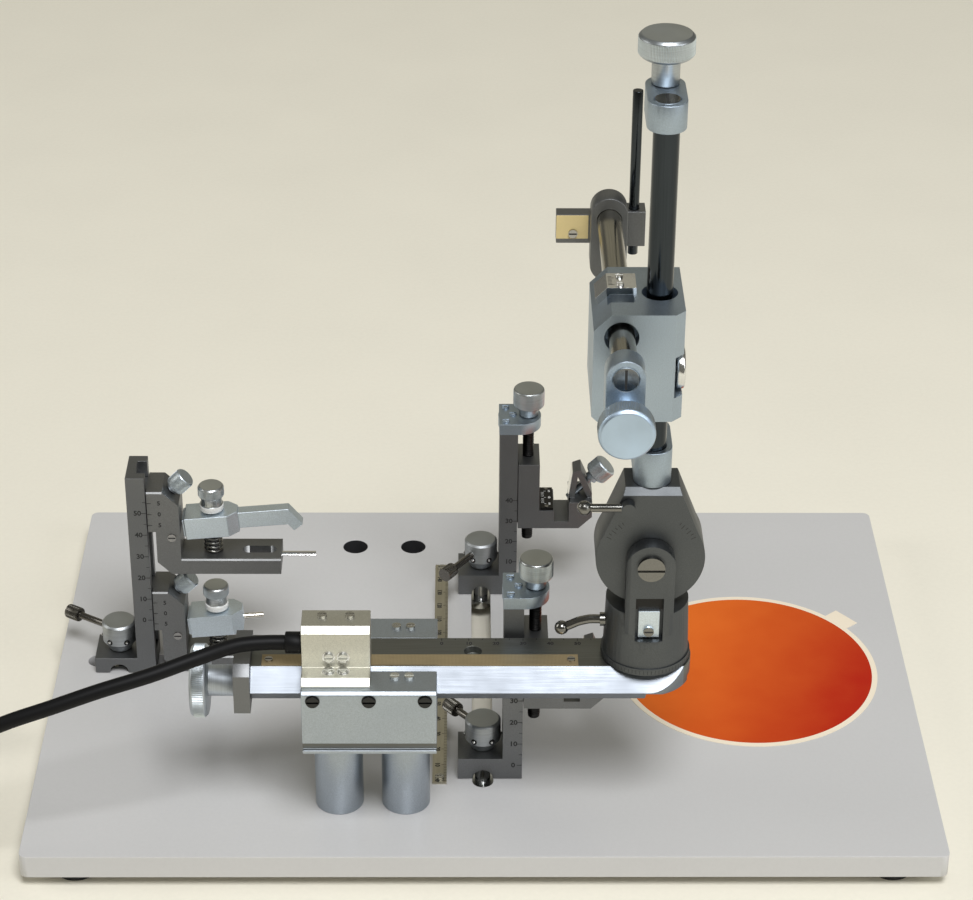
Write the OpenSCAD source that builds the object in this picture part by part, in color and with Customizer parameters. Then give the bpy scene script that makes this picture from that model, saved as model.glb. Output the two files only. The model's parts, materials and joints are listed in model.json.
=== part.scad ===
// Stereotaxic frame: base plate, front-to-back drive, manipulator, ear-bar holders and nose column.
// Millimetres, +Z up, +X right, +Y to the back. The rubber feet stand on z = 0.

/* [Base plate] */
// Width of the base plate, left to right
plate_w = 343; // [330:1:400]
// Depth of the base plate, front to back
plate_d = 240; // [236:1:300]
// Thickness of the base plate
plate_t = 9.5; // [9:0.5:14]
// Corner radius of the base plate
plate_r = 3; // [1:0.5:8]
// Height of the rubber feet
pad_h = 5; // [4:0.5:12]
// Diameter of the rubber feet
pad_d = 16; // [10:1:24]
// Inset of a foot's middle from the plate's sides
pad_in_x = 19.5; // [14:0.5:40]
// Inset of a foot's middle from the plate's front and back
pad_in_y = 12; // [12:0.5:30]
// Width of the clamp slots in the plate
slot_w = 8; // [7:0.2:9]
// Width of the groove for the bolt heads under the slots
groove_w = 13; // [12.8:0.2:15]
// Height of that groove
groove_h = 4; // [3.8:0.1:5]
// Length of the ear-bar slot
ear_slot = 155; // [150:1:200]
// Length of the nose-column slot
nose_slot = 66; // [60:1:80]
// Diameter of the two spare bracket holes at the back
spare_d = 10.6; // [8:0.2:12]
// Length of the steel rule
rule_l = 152.6; // [120:0.2:180]
// Width of the steel rule
rule_w = 5.4; // [4:0.2:8]
// Thickness of the steel rule
rule_t = 0.8; // [0.5:0.1:1.5]
// Diameter of the round sticker
disc_d = 105; // [60:1:110]
// Thickness of the sticker
disc_t = 0.2; // [0.1:0.1:0.5]
// Distance of the sticker's middle from the plate's right edge
disc_in = 64.5; // [60:0.5:70]
// Distance of the spare holes from the plate's back edge
spare_in = 28; // [20:0.5:34]
// Distance from the ear-bar slot's edge to the middle of the rule
rule_off = 12.5; // [10:0.5:16]

/* [Drive bracket] */
// Place of the bracket's middle from the plate's middle, to the right
br_x = -42; // [-46:1:-40]
// Distance of the bracket's middle from the plate's front edge
br_in = 34; // [30:1:34]
// Width of the bracket
br_w = 48.8; // [44:0.2:52]
// Depth of the front half of the bracket
br_front = 24; // [22:0.5:28]
// Depth of the rear half of the bracket
br_rear = 24; // [18:0.5:25]
// Height of the bracket posts over the plate
post_h = 39; // [35:0.5:45]
// Diameter of the bracket posts
post_d = 18; // [14:0.5:20]
// Spacing of the bracket posts
post_gap = 25; // [22:0.5:28]
// Height of the inset lip under the bracket
lip_h = 5; // [3:0.5:8]
// Inset of the lip at the front and back
lip_in = 2; // [1:0.5:3]
// Thickness of the bracket's floor
br_floor = 8; // [6:0.5:12]
// Width of the read head
head_w = 24.8; // [22:0.2:28]
// Height of the read head over the bracket
head_h = 19.5; // [16:0.5:24]

/* [Guide bar] */
// Height of the guide bar
bar_h = 14.5; // [13:0.5:18]
// Width of the bar's flat top
bar_top = 18; // [16:0.5:20]
// Front edge of the flat top from the bracket's middle
bar_lead = 7.4; // [6.6:0.2:8]
// Reach of the V edge past the flat top
bar_v = 7.2; // [6:0.2:8]
// Left end of the bar from the bracket's middle
bar_left = 43.4; // [42:0.2:48]
// Thickness of the thrust block
thrust_t = 6; // [5:0.5:8]
// Diameter of the drive screws
screw_d = 5; // [4:0.1:5]
// Diameter of the front-to-back knob
ap_knob_d = 27; // [18:0.5:28]

/* [Manipulator] */
// Distance from the bracket's middle to the tower's axis
tower_dx = 100.5; // [94:0.5:106]
// Diameter of the tower
tower_d = 31.4; // [30:0.2:34]
// Height of the tower up to the yoke
tower_h = 24.5; // [22:0.5:30]
// Height of the tilt axis over the tower
pivot_up = 20.5; // [20.5:0.5:24]
// Radius of the tilt disc
tilt_r = 19.5; // [16:0.5:19.5]
// Thickness of the tilt head
tilt_t = 15.4; // [12:0.2:16]
// Thickness of a yoke cheek
cheek_t = 6; // [5:0.2:6.4]
// Width of a yoke cheek
cheek_w = 17.4; // [14:0.2:18]
// Diameter of the upright and cross rods
rod_d = 9; // [8:0.2:9.4]
// Length of the upright rod above its foot bracket
dv_len = 121; // [110:1:140]
// Distance from a rod to its drive screw
pair_gap = 13; // [12:0.2:14]
// Diameter of the manipulator knobs
knob_d = 18.8; // [15:0.2:20]
// Height of the carriage over the foot bracket
dv_at = 19; // [18:0.5:40]
// Width of the carriage block
car_w = 31; // [30:0.5:36]
// Depth of the carriage block
car_d = 36; // [34:0.5:40]
// Height of the carriage block
car_h = 41; // [38:0.5:44]
// Distance of the cross rod left of the upright rod
ml_dx = 13.5; // [13:0.1:14]
// Distance of the cross rod under the carriage's top
ml_down = 8.5; // [8:0.1:10]
// Reach of the cross rod to the front of the upright rod
ml_front = 46; // [44:0.5:60]
// Reach of the cross rod behind the upright rod
ml_rear = 82; // [60:0.5:90]
// Diameter of the probe rod
probe_d = 3.8; // [2:0.1:4]
// Length of the probe rod
probe_l = 65; // [50:1:90]

/* [Ear-bar holders] */
// Distance of the near holder's front from the plate's front edge
near_in = 47; // [47:0.5:55]
// Front of the far holder from the plate's middle
far_y = 54.4; // [45:0.2:55]
// Depth of the holders and columns, front to back
col_d = 17.5; // [16:0.1:18]
// Width of a graduated post
col_w = 7.4; // [7:0.1:9]
// Height of an ear post over the plate
ear_h = 77.8; // [74:0.2:86]
// Height of a foot
foot_h = 9.2; // [8:0.2:10]
// Length of a foot
foot_l = 24.4; // [24:0.2:27]
// Height of the carriage's underside over the plate
ear_at = 33; // [30:0.5:40]
// Width of the ear-bar channel
chan_w = 6.1; // [5:0.1:7]
// Diameter of the ear-bar knobs
ear_knob_d = 12.5; // [9:0.1:13]

/* [Nose column] */
// Distance of the nose foot's left end from the plate's left edge
nose_in = 15.5; // [14:0.5:18]
// Front of the nose column from the plate's middle
nose_y = -2.9; // [-5:0.1:5]
// Height of the nose post over the plate
nose_h = 91.5; // [90:0.5:110]
// Distance between the two nose carriages
nose_pitch = 46.4; // [46.4:0.1:46.8]
// Length of the nose arms
nose_arm = 48.5; // [46:0.5:60]
// Height of the spring under a nose clamp
spring_h = 8.5; // [7:0.1:9]
// Turns of that spring
spring_n = 4; // [3:1:4]
// Wire of that spring
spring_wire = 1; // [0.6:0.1:1]

/* [Clamp knobs] */
// Diameter of a clamp knob
clamp_d = 13.6; // [11:0.2:14]
// Height of a clamp knob
clamp_h = 12.7; // [11:0.1:14]
// Reach of the near tommy bar from its knob's middle
near_tommy = 21; // [16:0.5:22]
// Reach of the other tommy bars from their knobs' middles
far_tommy = 26; // [16:0.5:27]

/* [Cable] */
// Diameter of the cable
cable_d = 5.5; // [5.5:0.1:5.6]
// Turns in each of the coil's two layers
coil_n = 4; // [2:1:4]
// Inner radius of the coil, to the middle of the cable
coil_r = 19; // [19:0.5:30]
// Step from turn to turn and from layer to layer
coil_step = 6.8; // [6.7:0.1:8]

/* [Fits] */
// Gap between sliding faces
gap = 0.3; // [0.2:0.05:0.5]
// Radial play of a running fit
run = 0.05; // [0.02:0.01:0.1]
// Radial play of a fixed seat
seat = 0.01; // [0.01:0.01:0.03]

/* [Hidden] */
$fn = 48;

// Levels and places that follow from the sizes above
top = pad_h + plate_t;
eps = 0.05;
br_y = -plate_d / 2 + br_in;
lip_z = top + post_h;
body_z = lip_z + lip_h;
bar_z = body_z + br_floor + gap;
bar_top_z = bar_z + bar_h;
wall_z = bar_top_z - gap;
bar_front_y = -bar_lead;
bar_back_y = bar_front_y + bar_top;
tip_y = bar_front_y - bar_v;
tip_z = bar_top_z - bar_v;
under_y = tip_y + (tip_z - bar_z);
// Inner edge of the bracket's front wall, over the V
wall_y = tip_y + 4.5;
wall_screw_in = 4;
ap_z = bar_z + 3;
slit_w = screw_d + 4;
slit_z = ap_z + screw_d / 2 + 2.8;
bar_x0 = br_x - bar_left;
mx = br_x + tower_dx;
my = br_y + 2;
bar_end_r = tower_d / 2 + 1;
strip_t = 0.4;
strip_w = 6.6;
strip_in = 0.2;
strip_x0 = bar_x0 + 4;
strip_x1 = mx - tower_d / 2 - 9;
tower_z = bar_top_z + gap;
yoke_z = tower_z + tower_h;
pivot_z = yoke_z + pivot_up;
yoke_in = tilt_t / 2 + gap;
yoke_out = yoke_in + cheek_t;
head_up = 9;
head_top_z = pivot_z + tilt_r + head_up;
head_half = 9.6;
head_bevel = 3.4;
pivot_head_d = 9.8;
pivot_head_h = 1.4;
lever_ball = 5.2;
pivot_d = 6;
rod_sunk = 12;
end_screw = 1.5;
tilt_pin = 4;
tilt_pin_l = 4.5;
tilt_lever_x = -head_half + 1;
tilt_lever_up = 3;
tilt_lever_z = pivot_z + tilt_r + tilt_lever_up;
neck_d = 9.5;
foot_t = 14;
foot_top_z = head_top_z + foot_t;
top_br_t = 10;
top_br_z = foot_top_z + dv_len;
dv_sy = my + pair_gap;
pair_r = rod_d / 2 + 2.2;
car_z = foot_top_z + dv_at;
car_top_z = car_z + car_h;
car_bevel = 6;
car_x1 = mx + rod_d / 2 + 3.5;
car_x0 = car_x1 - car_w;
car_front = 17;
car_y0 = my - car_front;
car_y1 = car_y0 + car_d;
ml_x = mx - ml_dx;
ml_z = car_top_z - ml_down;
ml_sz = ml_z - pair_gap;
ml_y0 = my - ml_front;
ml_y1 = my + ml_rear;
ml_br_t = 9;
neck_l = 6;
dv_neck_l = 9.5;
knob_t = 8;
// Chamfer of the manipulator's knobs
knob_edge = 1;
ml_face_y = ml_y0 - gap - neck_l - knob_t;
// The part stands with the middle of its own bounding box on the origin
bench_y = -(ml_face_y + plate_d / 2) / 2;
ear_x0 = -10;
ear_x1 = ear_x0 + foot_l;
ear_post_x = ear_x1 - col_w;
clamp_x = 9.5;
bolt_d = 6;
notch_d = 7.6;
tommy_d = 2.8;
tommy_tip_d = 5.6;
keyway_w = 9;
keyway_t = 3.7;
ear_screw_d = 4.4;
ear_screw_x = ear_x1 + 4.4;
ear_cap_t = 4.8;
ear_cap_in = 3.7;
ear_slide_w = 8.8;
ear_slide_x = ear_x1 + gap;
nose_x0 = -plate_w / 2 + nose_in;
nose_x1 = nose_x0 + foot_l;
nose_post_x = nose_x1 - col_w;
nose_foot_h = 6.7;
nose_car_x = nose_x1 + gap;
nose_leg_x = nose_car_x + 2.9;
nose_leg_w = 9.4;
nose_low = 0.6;
nose_up = nose_low + nose_pitch;
nose_t = 6.7;
nose_car_h = 37.5;
nose_w = 15.5;
nose_y0 = (col_d - nose_w) / 2;
stud_d = 4;
stud_x = nose_leg_x + nose_leg_w + 12.2;
jaw_t = 9.4;
jaw_tilt = 5;
jaw_l = 11;
collar_t = 2.3;
nose_knob_d = 10;
nose_knob_h = 8.3;
cable_exit_y = br_y - 7;
cable_exit_z = wall_z + 10.4;
gland_l = 6;
head_x0 = br_x - br_w / 2;
gland_x = head_x0 - gland_l;

// Route of the cable from the gland to the coil, through points chosen by eye
cable_points = [
    [-90, -96], [-104, -103], [-120, -109], [-138, -113], [-155, -116], [-173, -118],
    [-190, -119], [-204, -120], [-214, -120], [-222, -120], [-232, -120], [-245, -120]
];
cable_heights = [92, 91, 88, 84, 79, 73, 64, 52, 39, 26, 15, 7];
coil_start_x = -270;
coil_side_y = -120;
coil_tail = 38;
plug_l = 24;
plug_tip_l = 10;
plug_tip_d = 12;

// Helper shapes
module box(x0, x1, y0, y1, z0, z1) {
    translate([x0, y0, z0]) cube([x1 - x0, y1 - y0, z1 - z0]);
}
module rod_x(d, x0, x1, y, z) {
    translate([x0, y, z]) rotate([0, 90, 0]) cylinder(d = d, h = x1 - x0);
}
module rod_y(d, y0, y1, x, z) {
    translate([x, y1, z]) rotate([90, 0, 0]) cylinder(d = d, h = y1 - y0);
}
module rod_z(d, z0, z1, x, y) {
    translate([x, y, z0]) cylinder(d = d, h = z1 - z0);
}
module along_x(x0, x1) {
    translate([x0, 0, 0]) rotate([90, 0, 90]) linear_extrude(x1 - x0) children();
}
module along_y(y0, y1) {
    translate([0, y1, 0]) rotate([90, 0, 0]) linear_extrude(y1 - y0) children();
}
module slot_2d(w, l) {
    square([w, l - w], center = true);
    for (s = [-1, 1]) translate([0, s * (l - w) / 2]) circle(d = w);
}
// A plate with two round ends, standing on z = 0 from the first middle to the second along Y
module capsule(r, l, h) {
    cylinder(r = r, h = h);
    translate([0, l, 0]) cylinder(r = r, h = h);
    translate([-r, 0, 0]) cube([2 * r, l, h]);
}
// A round screw head with a slot, its seat on z = 0
module screw_head(d, h) {
    difference() {
        cylinder(d = d, h = h);
        translate([-d, -d * 0.1, h * 0.5]) cube([2 * d, d * 0.2, h]);
    }
}
// A lathe knob on z = 0: neck, then a disc with small chamfers
module knob(neck_d, neck_h, d, h, c) {
    rotate_extrude() polygon([
        [0, 0], [neck_d / 2, 0], [neck_d / 2, neck_h], [d / 2 - c, neck_h], [d / 2, neck_h + c],
        [d / 2, neck_h + h - c], [d / 2 - c, neck_h + h], [0, neck_h + h]
    ]);
}
module on_bench() translate([0, bench_y, 0]) children();

// Swept tubes
function unit(v) = v / norm(v);
function tangent(p, i) = unit(p[min(i + 1, len(p) - 1)] - p[max(i - 1, 0)]);
function side_of(t) = unit(abs(t.z) > 0.9 ? cross(t, [0, 1, 0]) : cross(t, [0, 0, 1]));
function ring(c, t, r, n) = let (a = side_of(t), b = cross(a, t))
    [for (k = [0 : n - 1]) c + r * (cos(360 * (k + 0.5) / n) * a + sin(360 * (k + 0.5) / n) * b)];
module tube(p, d, n) {
    m = len(p);
    points = [for (i = [0 : m - 1]) each ring(p[i], tangent(p, i), d / 2, n)];
    walls = [for (i = [0 : m - 2], k = [0 : n - 1]) each [
        [i * n + k, i * n + (k + 1) % n, (i + 1) * n + k],
        [i * n + (k + 1) % n, (i + 1) * n + (k + 1) % n, (i + 1) * n + k]
    ]];
    last = (m - 1) * n;
    ends = [for (k = [1 : n - 2]) each [[0, k + 1, k], [last, last + k, last + k + 1]]];
    polyhedron(points = points, faces = concat(walls, ends));
}
// Least gap of a tube to itself, over points more than skip steps apart
function self_gap(p, d, skip) = min([for (i = [0 : len(p) - 1], j = [i + skip : 1 : len(p) - 1])
    norm(p[i] - p[j])]) - d;
// A ball, turned from a many-sided profile
module ball(d) rotate_extrude() polygon([for (a = [-90 : 10 : 90]) d / 2 * [cos(a), sin(a)]]);
// A smooth curve through points, with n steps between two of them
function curve(p, n) = let (m = len(p) - 1) [
    for (i = [0 : m - 1], k = [0 : n - 1])
        let (a = p[max(i - 1, 0)], b = p[i], c = p[i + 1], e = p[min(i + 2, m)], t = k / n)
        0.5 * (2 * b + (c - a) * t + (2 * a - 5 * b + 4 * c - e) * t * t
            + (3 * b - a - 3 * c + e) * t * t * t),
    p[m]
];

// Base: plate, feet, rule, sticker
module t_slot(l) {
    translate([0, 0, -eps]) linear_extrude(plate_t + 2 * eps) slot_2d(slot_w, l);
    translate([0, 0, -eps]) linear_extrude(groove_h + eps) slot_2d(groove_w, l + groove_w - slot_w);
}
ear_slot_x = ear_x0 + clamp_x;
near_y = near_in - plate_d / 2;
ear_slot_y = (near_y + far_y + col_d) / 2;
nose_slot_x = nose_x0 - 4 + nose_slot / 2;
nose_slot_y = nose_y + col_d / 2;
spare_y = plate_d / 2 - spare_in;
rule_x = ear_slot_x - slot_w / 2 - rule_off;
module base_plate() {
    r = plate_r;
    color("gainsboro") difference() {
        union() {
            box(-plate_w / 2 + r, plate_w / 2 - r, -plate_d / 2, plate_d / 2, pad_h, top);
            box(-plate_w / 2, plate_w / 2, -plate_d / 2 + r, plate_d / 2 - r, pad_h, top);
            for (sx = [-1, 1], sy = [-1, 1])
                rod_z(2 * r, pad_h, top, sx * (plate_w / 2 - r), sy * (plate_d / 2 - r));
        }
        translate([ear_slot_x, ear_slot_y, pad_h]) t_slot(ear_slot);
        translate([nose_slot_x, nose_slot_y, pad_h]) rotate([0, 0, 90]) t_slot(nose_slot);
        for (s = [-1, 1]) rod_z(spare_d, pad_h - eps, top + eps, br_x + s * post_gap / 2, spare_y);
    }
}
module rubber_feet() {
    color("dimgray") for (sx = [-1, 1], sy = [-1, 1])
        rod_z(pad_d, 0, pad_h, sx * (plate_w / 2 - pad_in_x), sy * (plate_d / 2 - pad_in_y));
}
module rule() {
    color("silver") translate([rule_x, 0, top])
        box(-rule_w / 2, rule_w / 2, -rule_l / 2, rule_l / 2, 0, rule_t);
}
module sticker() {
    tab_w = 12;
    tab_l = 9;
    tab_x = plate_w / 2 - disc_in;
    color("darkorange") {
        rod_z(disc_d, top, top + disc_t, tab_x, 0);
        translate([tab_x, 0, top]) rotate([0, 0, 40])
            translate([disc_d / 2 - tab_l / 3, -tab_w / 2, 0]) cube([tab_l, tab_w, disc_t]);
    }
}

// Base: bracket, read head and nut
module bracket_posts() {
    color("lightsteelblue") for (s = [-1, 1]) rod_z(post_d, top, lip_z, br_x + s * post_gap / 2, br_y);
}
module drive_bracket() {
    v = gap * sqrt(2);
    x0 = br_x - br_w / 2;
    x1 = br_x + br_w / 2;
    bevel = 1.2;
    sole_t = 1.5;
    sole_in = 0.6;
    color("lightsteelblue") translate([0, br_y, 0]) {
        along_x(x0, x1) polygon([
            [-br_front, body_z], [-br_front, wall_z - bevel], [-br_front + bevel, wall_z],
            [wall_y, wall_z], [wall_y, tip_z + (wall_y - tip_y) + v], [tip_y - v, tip_z],
            [under_y - v + gap, bar_z - gap], [bar_back_y + gap, bar_z - gap],
            [bar_back_y + gap, wall_z], [br_rear, wall_z], [br_rear, body_z]
        ]);
        box(x0, x1, -br_front + lip_in, br_rear - lip_in, lip_z, body_z);
        box(x0, x1, -br_front + sole_in, br_rear - sole_in, lip_z, lip_z + sole_t);
    }
}
module drive_nut() {
    nut_w = slit_w - 1;
    half = 10;
    play = 0.5;
    color("goldenrod") translate([0, br_y, 0]) difference() {
        box(br_x - half, br_x + half, -nut_w / 2, nut_w / 2, bar_z - gap, slit_z - play);
        rod_x(screw_d + 2 * run, br_x - half - 1, br_x + half + 1, 0, ap_z);
    }
}
head_front_y = tip_y + 2.5;
head_back_y = head_front_y + 12.5;
ledge_h = 3;
module read_head() {
    under_z = bar_top_z + strip_t + 0.6;
    bevel = 2.3;
    ledge_y = -br_front + 3;
    color("lightsteelblue") translate([0, br_y, 0]) along_x(head_x0, head_x0 + head_w) polygon([
        [ledge_y, wall_z], [ledge_y, wall_z + ledge_h - bevel], [ledge_y + bevel, wall_z + ledge_h],
        [head_front_y, wall_z + ledge_h], [head_front_y, wall_z + head_h - bevel],
        [head_front_y + bevel, wall_z + head_h], [head_back_y, wall_z + head_h], [head_back_y, under_z],
        [wall_y, under_z], [wall_y, wall_z]
    ]);
}
// Small slotted screws of the fixed pieces
module base_screws() {
    d = 3.4;
    h = 1;
    big = 4.6;
    pitch = 5.2;
    rule_in = 3;
    big_in = 4.2;
    big_down = 3.6;
    side_in = 10;
    rear_in = 6;
    ledge_in = 2.6;
    face_up = 4.5;
    top_in = 4;
    top_pitch = 10;
    head_top = wall_z + head_h;
    color("silver") {
        for (s = [-1, 1]) translate([rule_x, s * (rule_l / 2 - rule_in), top + rule_t]) screw_head(d, h);
        translate([0, br_y, 0]) {
            for (s = [-1, 0, 1]) translate([br_x + s * (br_w / 2 - big_in), -br_front, wall_z - big_down])
                rotate([90, 0, 0]) screw_head(big, h);
            for (s = [0, 1]) {
                right_x = br_x + br_w / 2 - side_in - pitch * s;
                head_x = head_x0 + head_w / 2 - pitch * (s - 0.5);
                translate([right_x, wall_y - wall_screw_in, wall_z]) screw_head(d, h);
                translate([right_x, br_rear - rear_in, wall_z]) screw_head(d, h);
                translate([head_x, head_front_y - ledge_in, wall_z + ledge_h]) screw_head(d, h);
                translate([head_x, head_front_y, wall_z + ledge_h + face_up]) rotate([90, 0, 0])
                    screw_head(d, h);
                translate([head_x0 + head_w / 2 - top_pitch * (s - 0.5), head_back_y - top_in, head_top])
                    screw_head(d, h);
            }
        }
    }
}

// Cable, its gland, coil and connector
coil_out = coil_r + coil_n * coil_step;
coil_c = [coil_start_x, coil_side_y + coil_out];
coil_low = cable_d / 2;
coil_high = coil_low + coil_step;
coil_turn = 360 * coil_n;
// Steps of the wound path in a turn
coil_steps = 24;
function coil_at(t) = let (
    a = -90 - t,
    in = max(0, coil_turn - t),
    out = max(0, t - coil_turn - 180),
    r = coil_r + coil_step * (in + out) / 360,
    climb = min(1, max(0, (t - coil_turn) / 180))
) [coil_c.x + r * cos(a), coil_c.y + r * sin(a), coil_low + (coil_high - coil_low) * climb];
coil_path = concat(
    [[coil_start_x + cable_d, coil_side_y, coil_low]],
    [for (i = [0 : (2 * coil_n + 0.5) * coil_steps]) coil_at(360 * i / coil_steps)],
    [for (i = [1 : 6]) [coil_start_x + coil_tail * i / 6, coil_side_y + 2 * coil_out, coil_high]]
);
cable_path = concat(
    [[gland_x, cable_exit_y, cable_exit_z]],
    curve(concat(
        [[gland_x - cable_d, cable_exit_y, cable_exit_z]],
        [for (i = [0 : len(cable_points) - 1]) [cable_points[i].x, cable_points[i].y, cable_heights[i]]],
        [[coil_start_x + 2 * cable_d, coil_side_y, coil_low]]
    ), 2),
    [[coil_start_x + cable_d, coil_side_y, coil_low]]
);
echo(coil_least_gap = self_gap(coil_path, cable_d, 12));
module cable_gland() {
    color("black") rod_x(cable_d + 2.5, gland_x, head_x0, cable_exit_y, cable_exit_z);
}
module cable() {
    color("black") tube(cable_path, cable_d, 10);
}
module cable_coil() {
    color("black") tube(coil_path, cable_d, 6);
}
module connector() {
    x0 = coil_start_x + coil_tail;
    x1 = x0 + plug_l;
    y = coil_side_y + 2 * coil_out;
    color("darkslategray") {
        rod_x(2 * coil_high, x0, x1, y, coil_high);
        rod_x(plug_tip_d, x1, x1 + plug_tip_l, y, coil_high);
    }
}

// Front-to-back slide
module bar_2d() {
    difference() {
        polygon([
            [bar_front_y, bar_top_z], [tip_y, tip_z], [under_y, bar_z], [bar_back_y, bar_z],
            [bar_back_y, bar_top_z]
        ]);
        translate([-slit_w / 2, bar_z - eps]) square([slit_w, slit_z - bar_z + eps]);
    }
}
pin_d = 8;
pin_h = 4.2;
port_d = 6.5;
port_h = 3;
port_x = 37.5;
port_y = 8.5;
module guide_bar() {
    rim_down = 1;
    color("dimgray") translate([0, br_y, 0]) difference() {
        union() {
            along_x(bar_x0, mx) bar_2d();
            intersection() {
                along_x(mx - eps, mx + bar_end_r + 1) bar_2d();
                translate([mx, my - br_y, tip_z - rim_down])
                    cylinder(r = bar_end_r, h = bar_v + rim_down + 1);
            }
        }
        rod_z(port_d, bar_top_z - port_h, bar_top_z + eps, br_x + port_x, bar_back_y - port_y);
        rod_z(pin_d + 2 * run, bar_top_z - pin_h - gap, bar_top_z + eps, mx, my - br_y);
    }
}
module encoder_strip() {
    color("tan") translate([0, br_y, 0])
        translate([0, bar_front_y + strip_in, bar_top_z]) box(strip_x0, strip_x1, 0, strip_w, 0, strip_t);
}
module thrust_block() {
    rise = 3.5;
    z0 = bar_z - 1.5;
    x0 = bar_x0 - thrust_t;
    color("lightsteelblue") translate([0, br_y, 0]) difference() {
        along_x(x0, bar_x0) polygon([
            [tip_y, z0], [tip_y, bar_top_z], [tip_y + rise, bar_top_z + rise],
            [bar_back_y, bar_top_z + rise], [bar_back_y, z0]
        ]);
        rod_x(screw_d + 2 * run, x0 - 1, bar_x0 + 1, 0, ap_z);
    }
}
module ap_drive() {
    x1 = bar_x0 - thrust_t - gap;
    hub_d = 11.5;
    hub_l = 9.8;
    disc = 6.3;
    screw_in = 4;
    color("lightsteelblue") translate([0, br_y, ap_z]) {
        translate([x1, 0, 0]) rotate([0, -90, 0]) knob(hub_d, hub_l, ap_knob_d, disc, knob_edge);
        rod_x(screw_d, x1 - eps, mx - tower_d / 2 - screw_in, 0, 0);
    }
}

// Swivel tower and its yoke
lever_up = 14;
lever_reach = 15;
// Bend of the swivel lever: steps out and down, as shares of its reach
lever_bend = [[0.07, 0], [0.33, 0], [0.6, 0.07], [0.8, 0.17], [1, 0.25]];
lever_pin = 5;
window_w = 10;
window_h = 18;
window_y = -yoke_out + 3;
window_up = 14;
window_z = tower_z + window_up;
module tower() {
    r = tower_d / 2;
    rim = 1;
    rim_h = 2.7;
    taper = 0.8;
    root = 8;
    bore_l = 6;
    color("dimgray") translate([mx, my, 0]) difference() {
        union() {
            rod_z(pin_d, bar_top_z - pin_h, tower_z + eps, 0, 0);
            rod_z(tower_d + rim, tower_z, tower_z + rim_h, 0, 0);
            translate([0, 0, tower_z]) cylinder(r1 = r, r2 = r - taper, h = tower_h);
            for (s = [-1, 1]) intersection() {
                translate([0, s * (yoke_in + cheek_t / 2), 0]) along_y(-cheek_t / 2, cheek_t / 2) union() {
                    translate([-cheek_w / 2, yoke_z - root]) square([cheek_w, pivot_up + root]);
                    translate([0, pivot_z]) circle(d = cheek_w);
                }
                rod_z(tower_d, yoke_z - root - 1, pivot_z + cheek_w, 0, 0);
            }
        }
        box(-window_w / 2, window_w / 2, -r - 1, window_y, window_z, window_z + window_h);
        rod_y(pivot_d + 2 * seat, -yoke_out - 1, yoke_out + 1, 0, pivot_z);
        rod_x(lever_pin + 2 * run, -r - 1, -r + bore_l, 0, tower_z + lever_up);
    }
}
module tower_latch() {
    w = 7.6;
    t = 1.6;
    h = 11;
    up = 0.6;
    color("silver") translate([mx, my + window_y, window_z + up]) {
        box(-w / 2, w / 2, -t, 0, 0, h);
        translate([0, -t, h / 4]) rotate([90, 0, 0]) screw_head(w / 2, t / 2);
    }
}
module swivel_lever() {
    r = tower_d / 2;
    stem = 3.4;
    pin_out = 1.2;
    pin_in = 5;
    points = [for (p = lever_bend) lever_reach * [-p.x, 0, -p.y]];
    color("silver") translate([mx - r, my, tower_z + lever_up]) {
        rod_x(lever_pin, -pin_out, pin_in, 0, 0);
        tube(curve(points, 3), stem, 12);
        translate(points[len(points) - 1]) ball(lever_ball);
    }
}
module pivot_screw() {
    color("silver") translate([mx, my, pivot_z]) {
        translate([0, -yoke_out, 0]) rotate([90, 0, 0]) screw_head(pivot_head_d, pivot_head_h);
        rod_y(pivot_d, -yoke_out, yoke_out, 0, 0);
    }
}

// Tilt head and upright column
module tilt_head() {
    up = head_top_z - pivot_z;
    lean = atan2(up, head_half) - acos(tilt_r / norm([head_half, up]));
    meet = 0.99 * tilt_r * [cos(lean), sin(lean)];
    color("dimgray") translate([mx, my, 0]) difference() {
        union() {
            rod_y(2 * tilt_r, -tilt_t / 2, tilt_t / 2, 0, pivot_z);
            along_y(-tilt_t / 2, tilt_t / 2) translate([0, pivot_z])
                polygon([[0, 0], meet, [head_half, up], [-head_half, up], [-meet.x, meet.y]]);
        }
        translate([0, -tilt_t / 2, head_top_z]) rotate([45, 0, 0])
            cube([4 * head_half, head_bevel, head_bevel], center = true);
        rod_y(pivot_d + 2 * run, -tilt_t, tilt_t, 0, pivot_z);
        rod_z(rod_d + 2 * seat, head_top_z - rod_sunk, head_top_z + eps, 0, 0);
        rod_y(tilt_pin + 2 * run, -tilt_t, -tilt_t / 2 + tilt_pin_l + gap, tilt_lever_x, tilt_lever_z);
    }
}
module tilt_lever() {
    front = -tilt_t / 2 - gap;
    hub_d = 4.8;
    hub_l = 3.6;
    arm_d = 3;
    arm_l = 15.5;
    color("silver") translate([mx + tilt_lever_x, my, tilt_lever_z]) {
        rod_y(tilt_pin, front - eps, front + tilt_pin_l, 0, 0);
        rod_y(hub_d, front - hub_l, front, 0, 0);
        translate([0, front - hub_l / 2, 0]) {
            rod_x(arm_d, -arm_l, 0, 0, 0);
            translate([-arm_l, 0, 0]) ball(lever_ball);
        }
    }
}
module dv_rod() {
    color("silver") rod_z(rod_d, head_top_z - rod_sunk, top_br_z + top_br_t - end_screw, mx, my);
}
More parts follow.
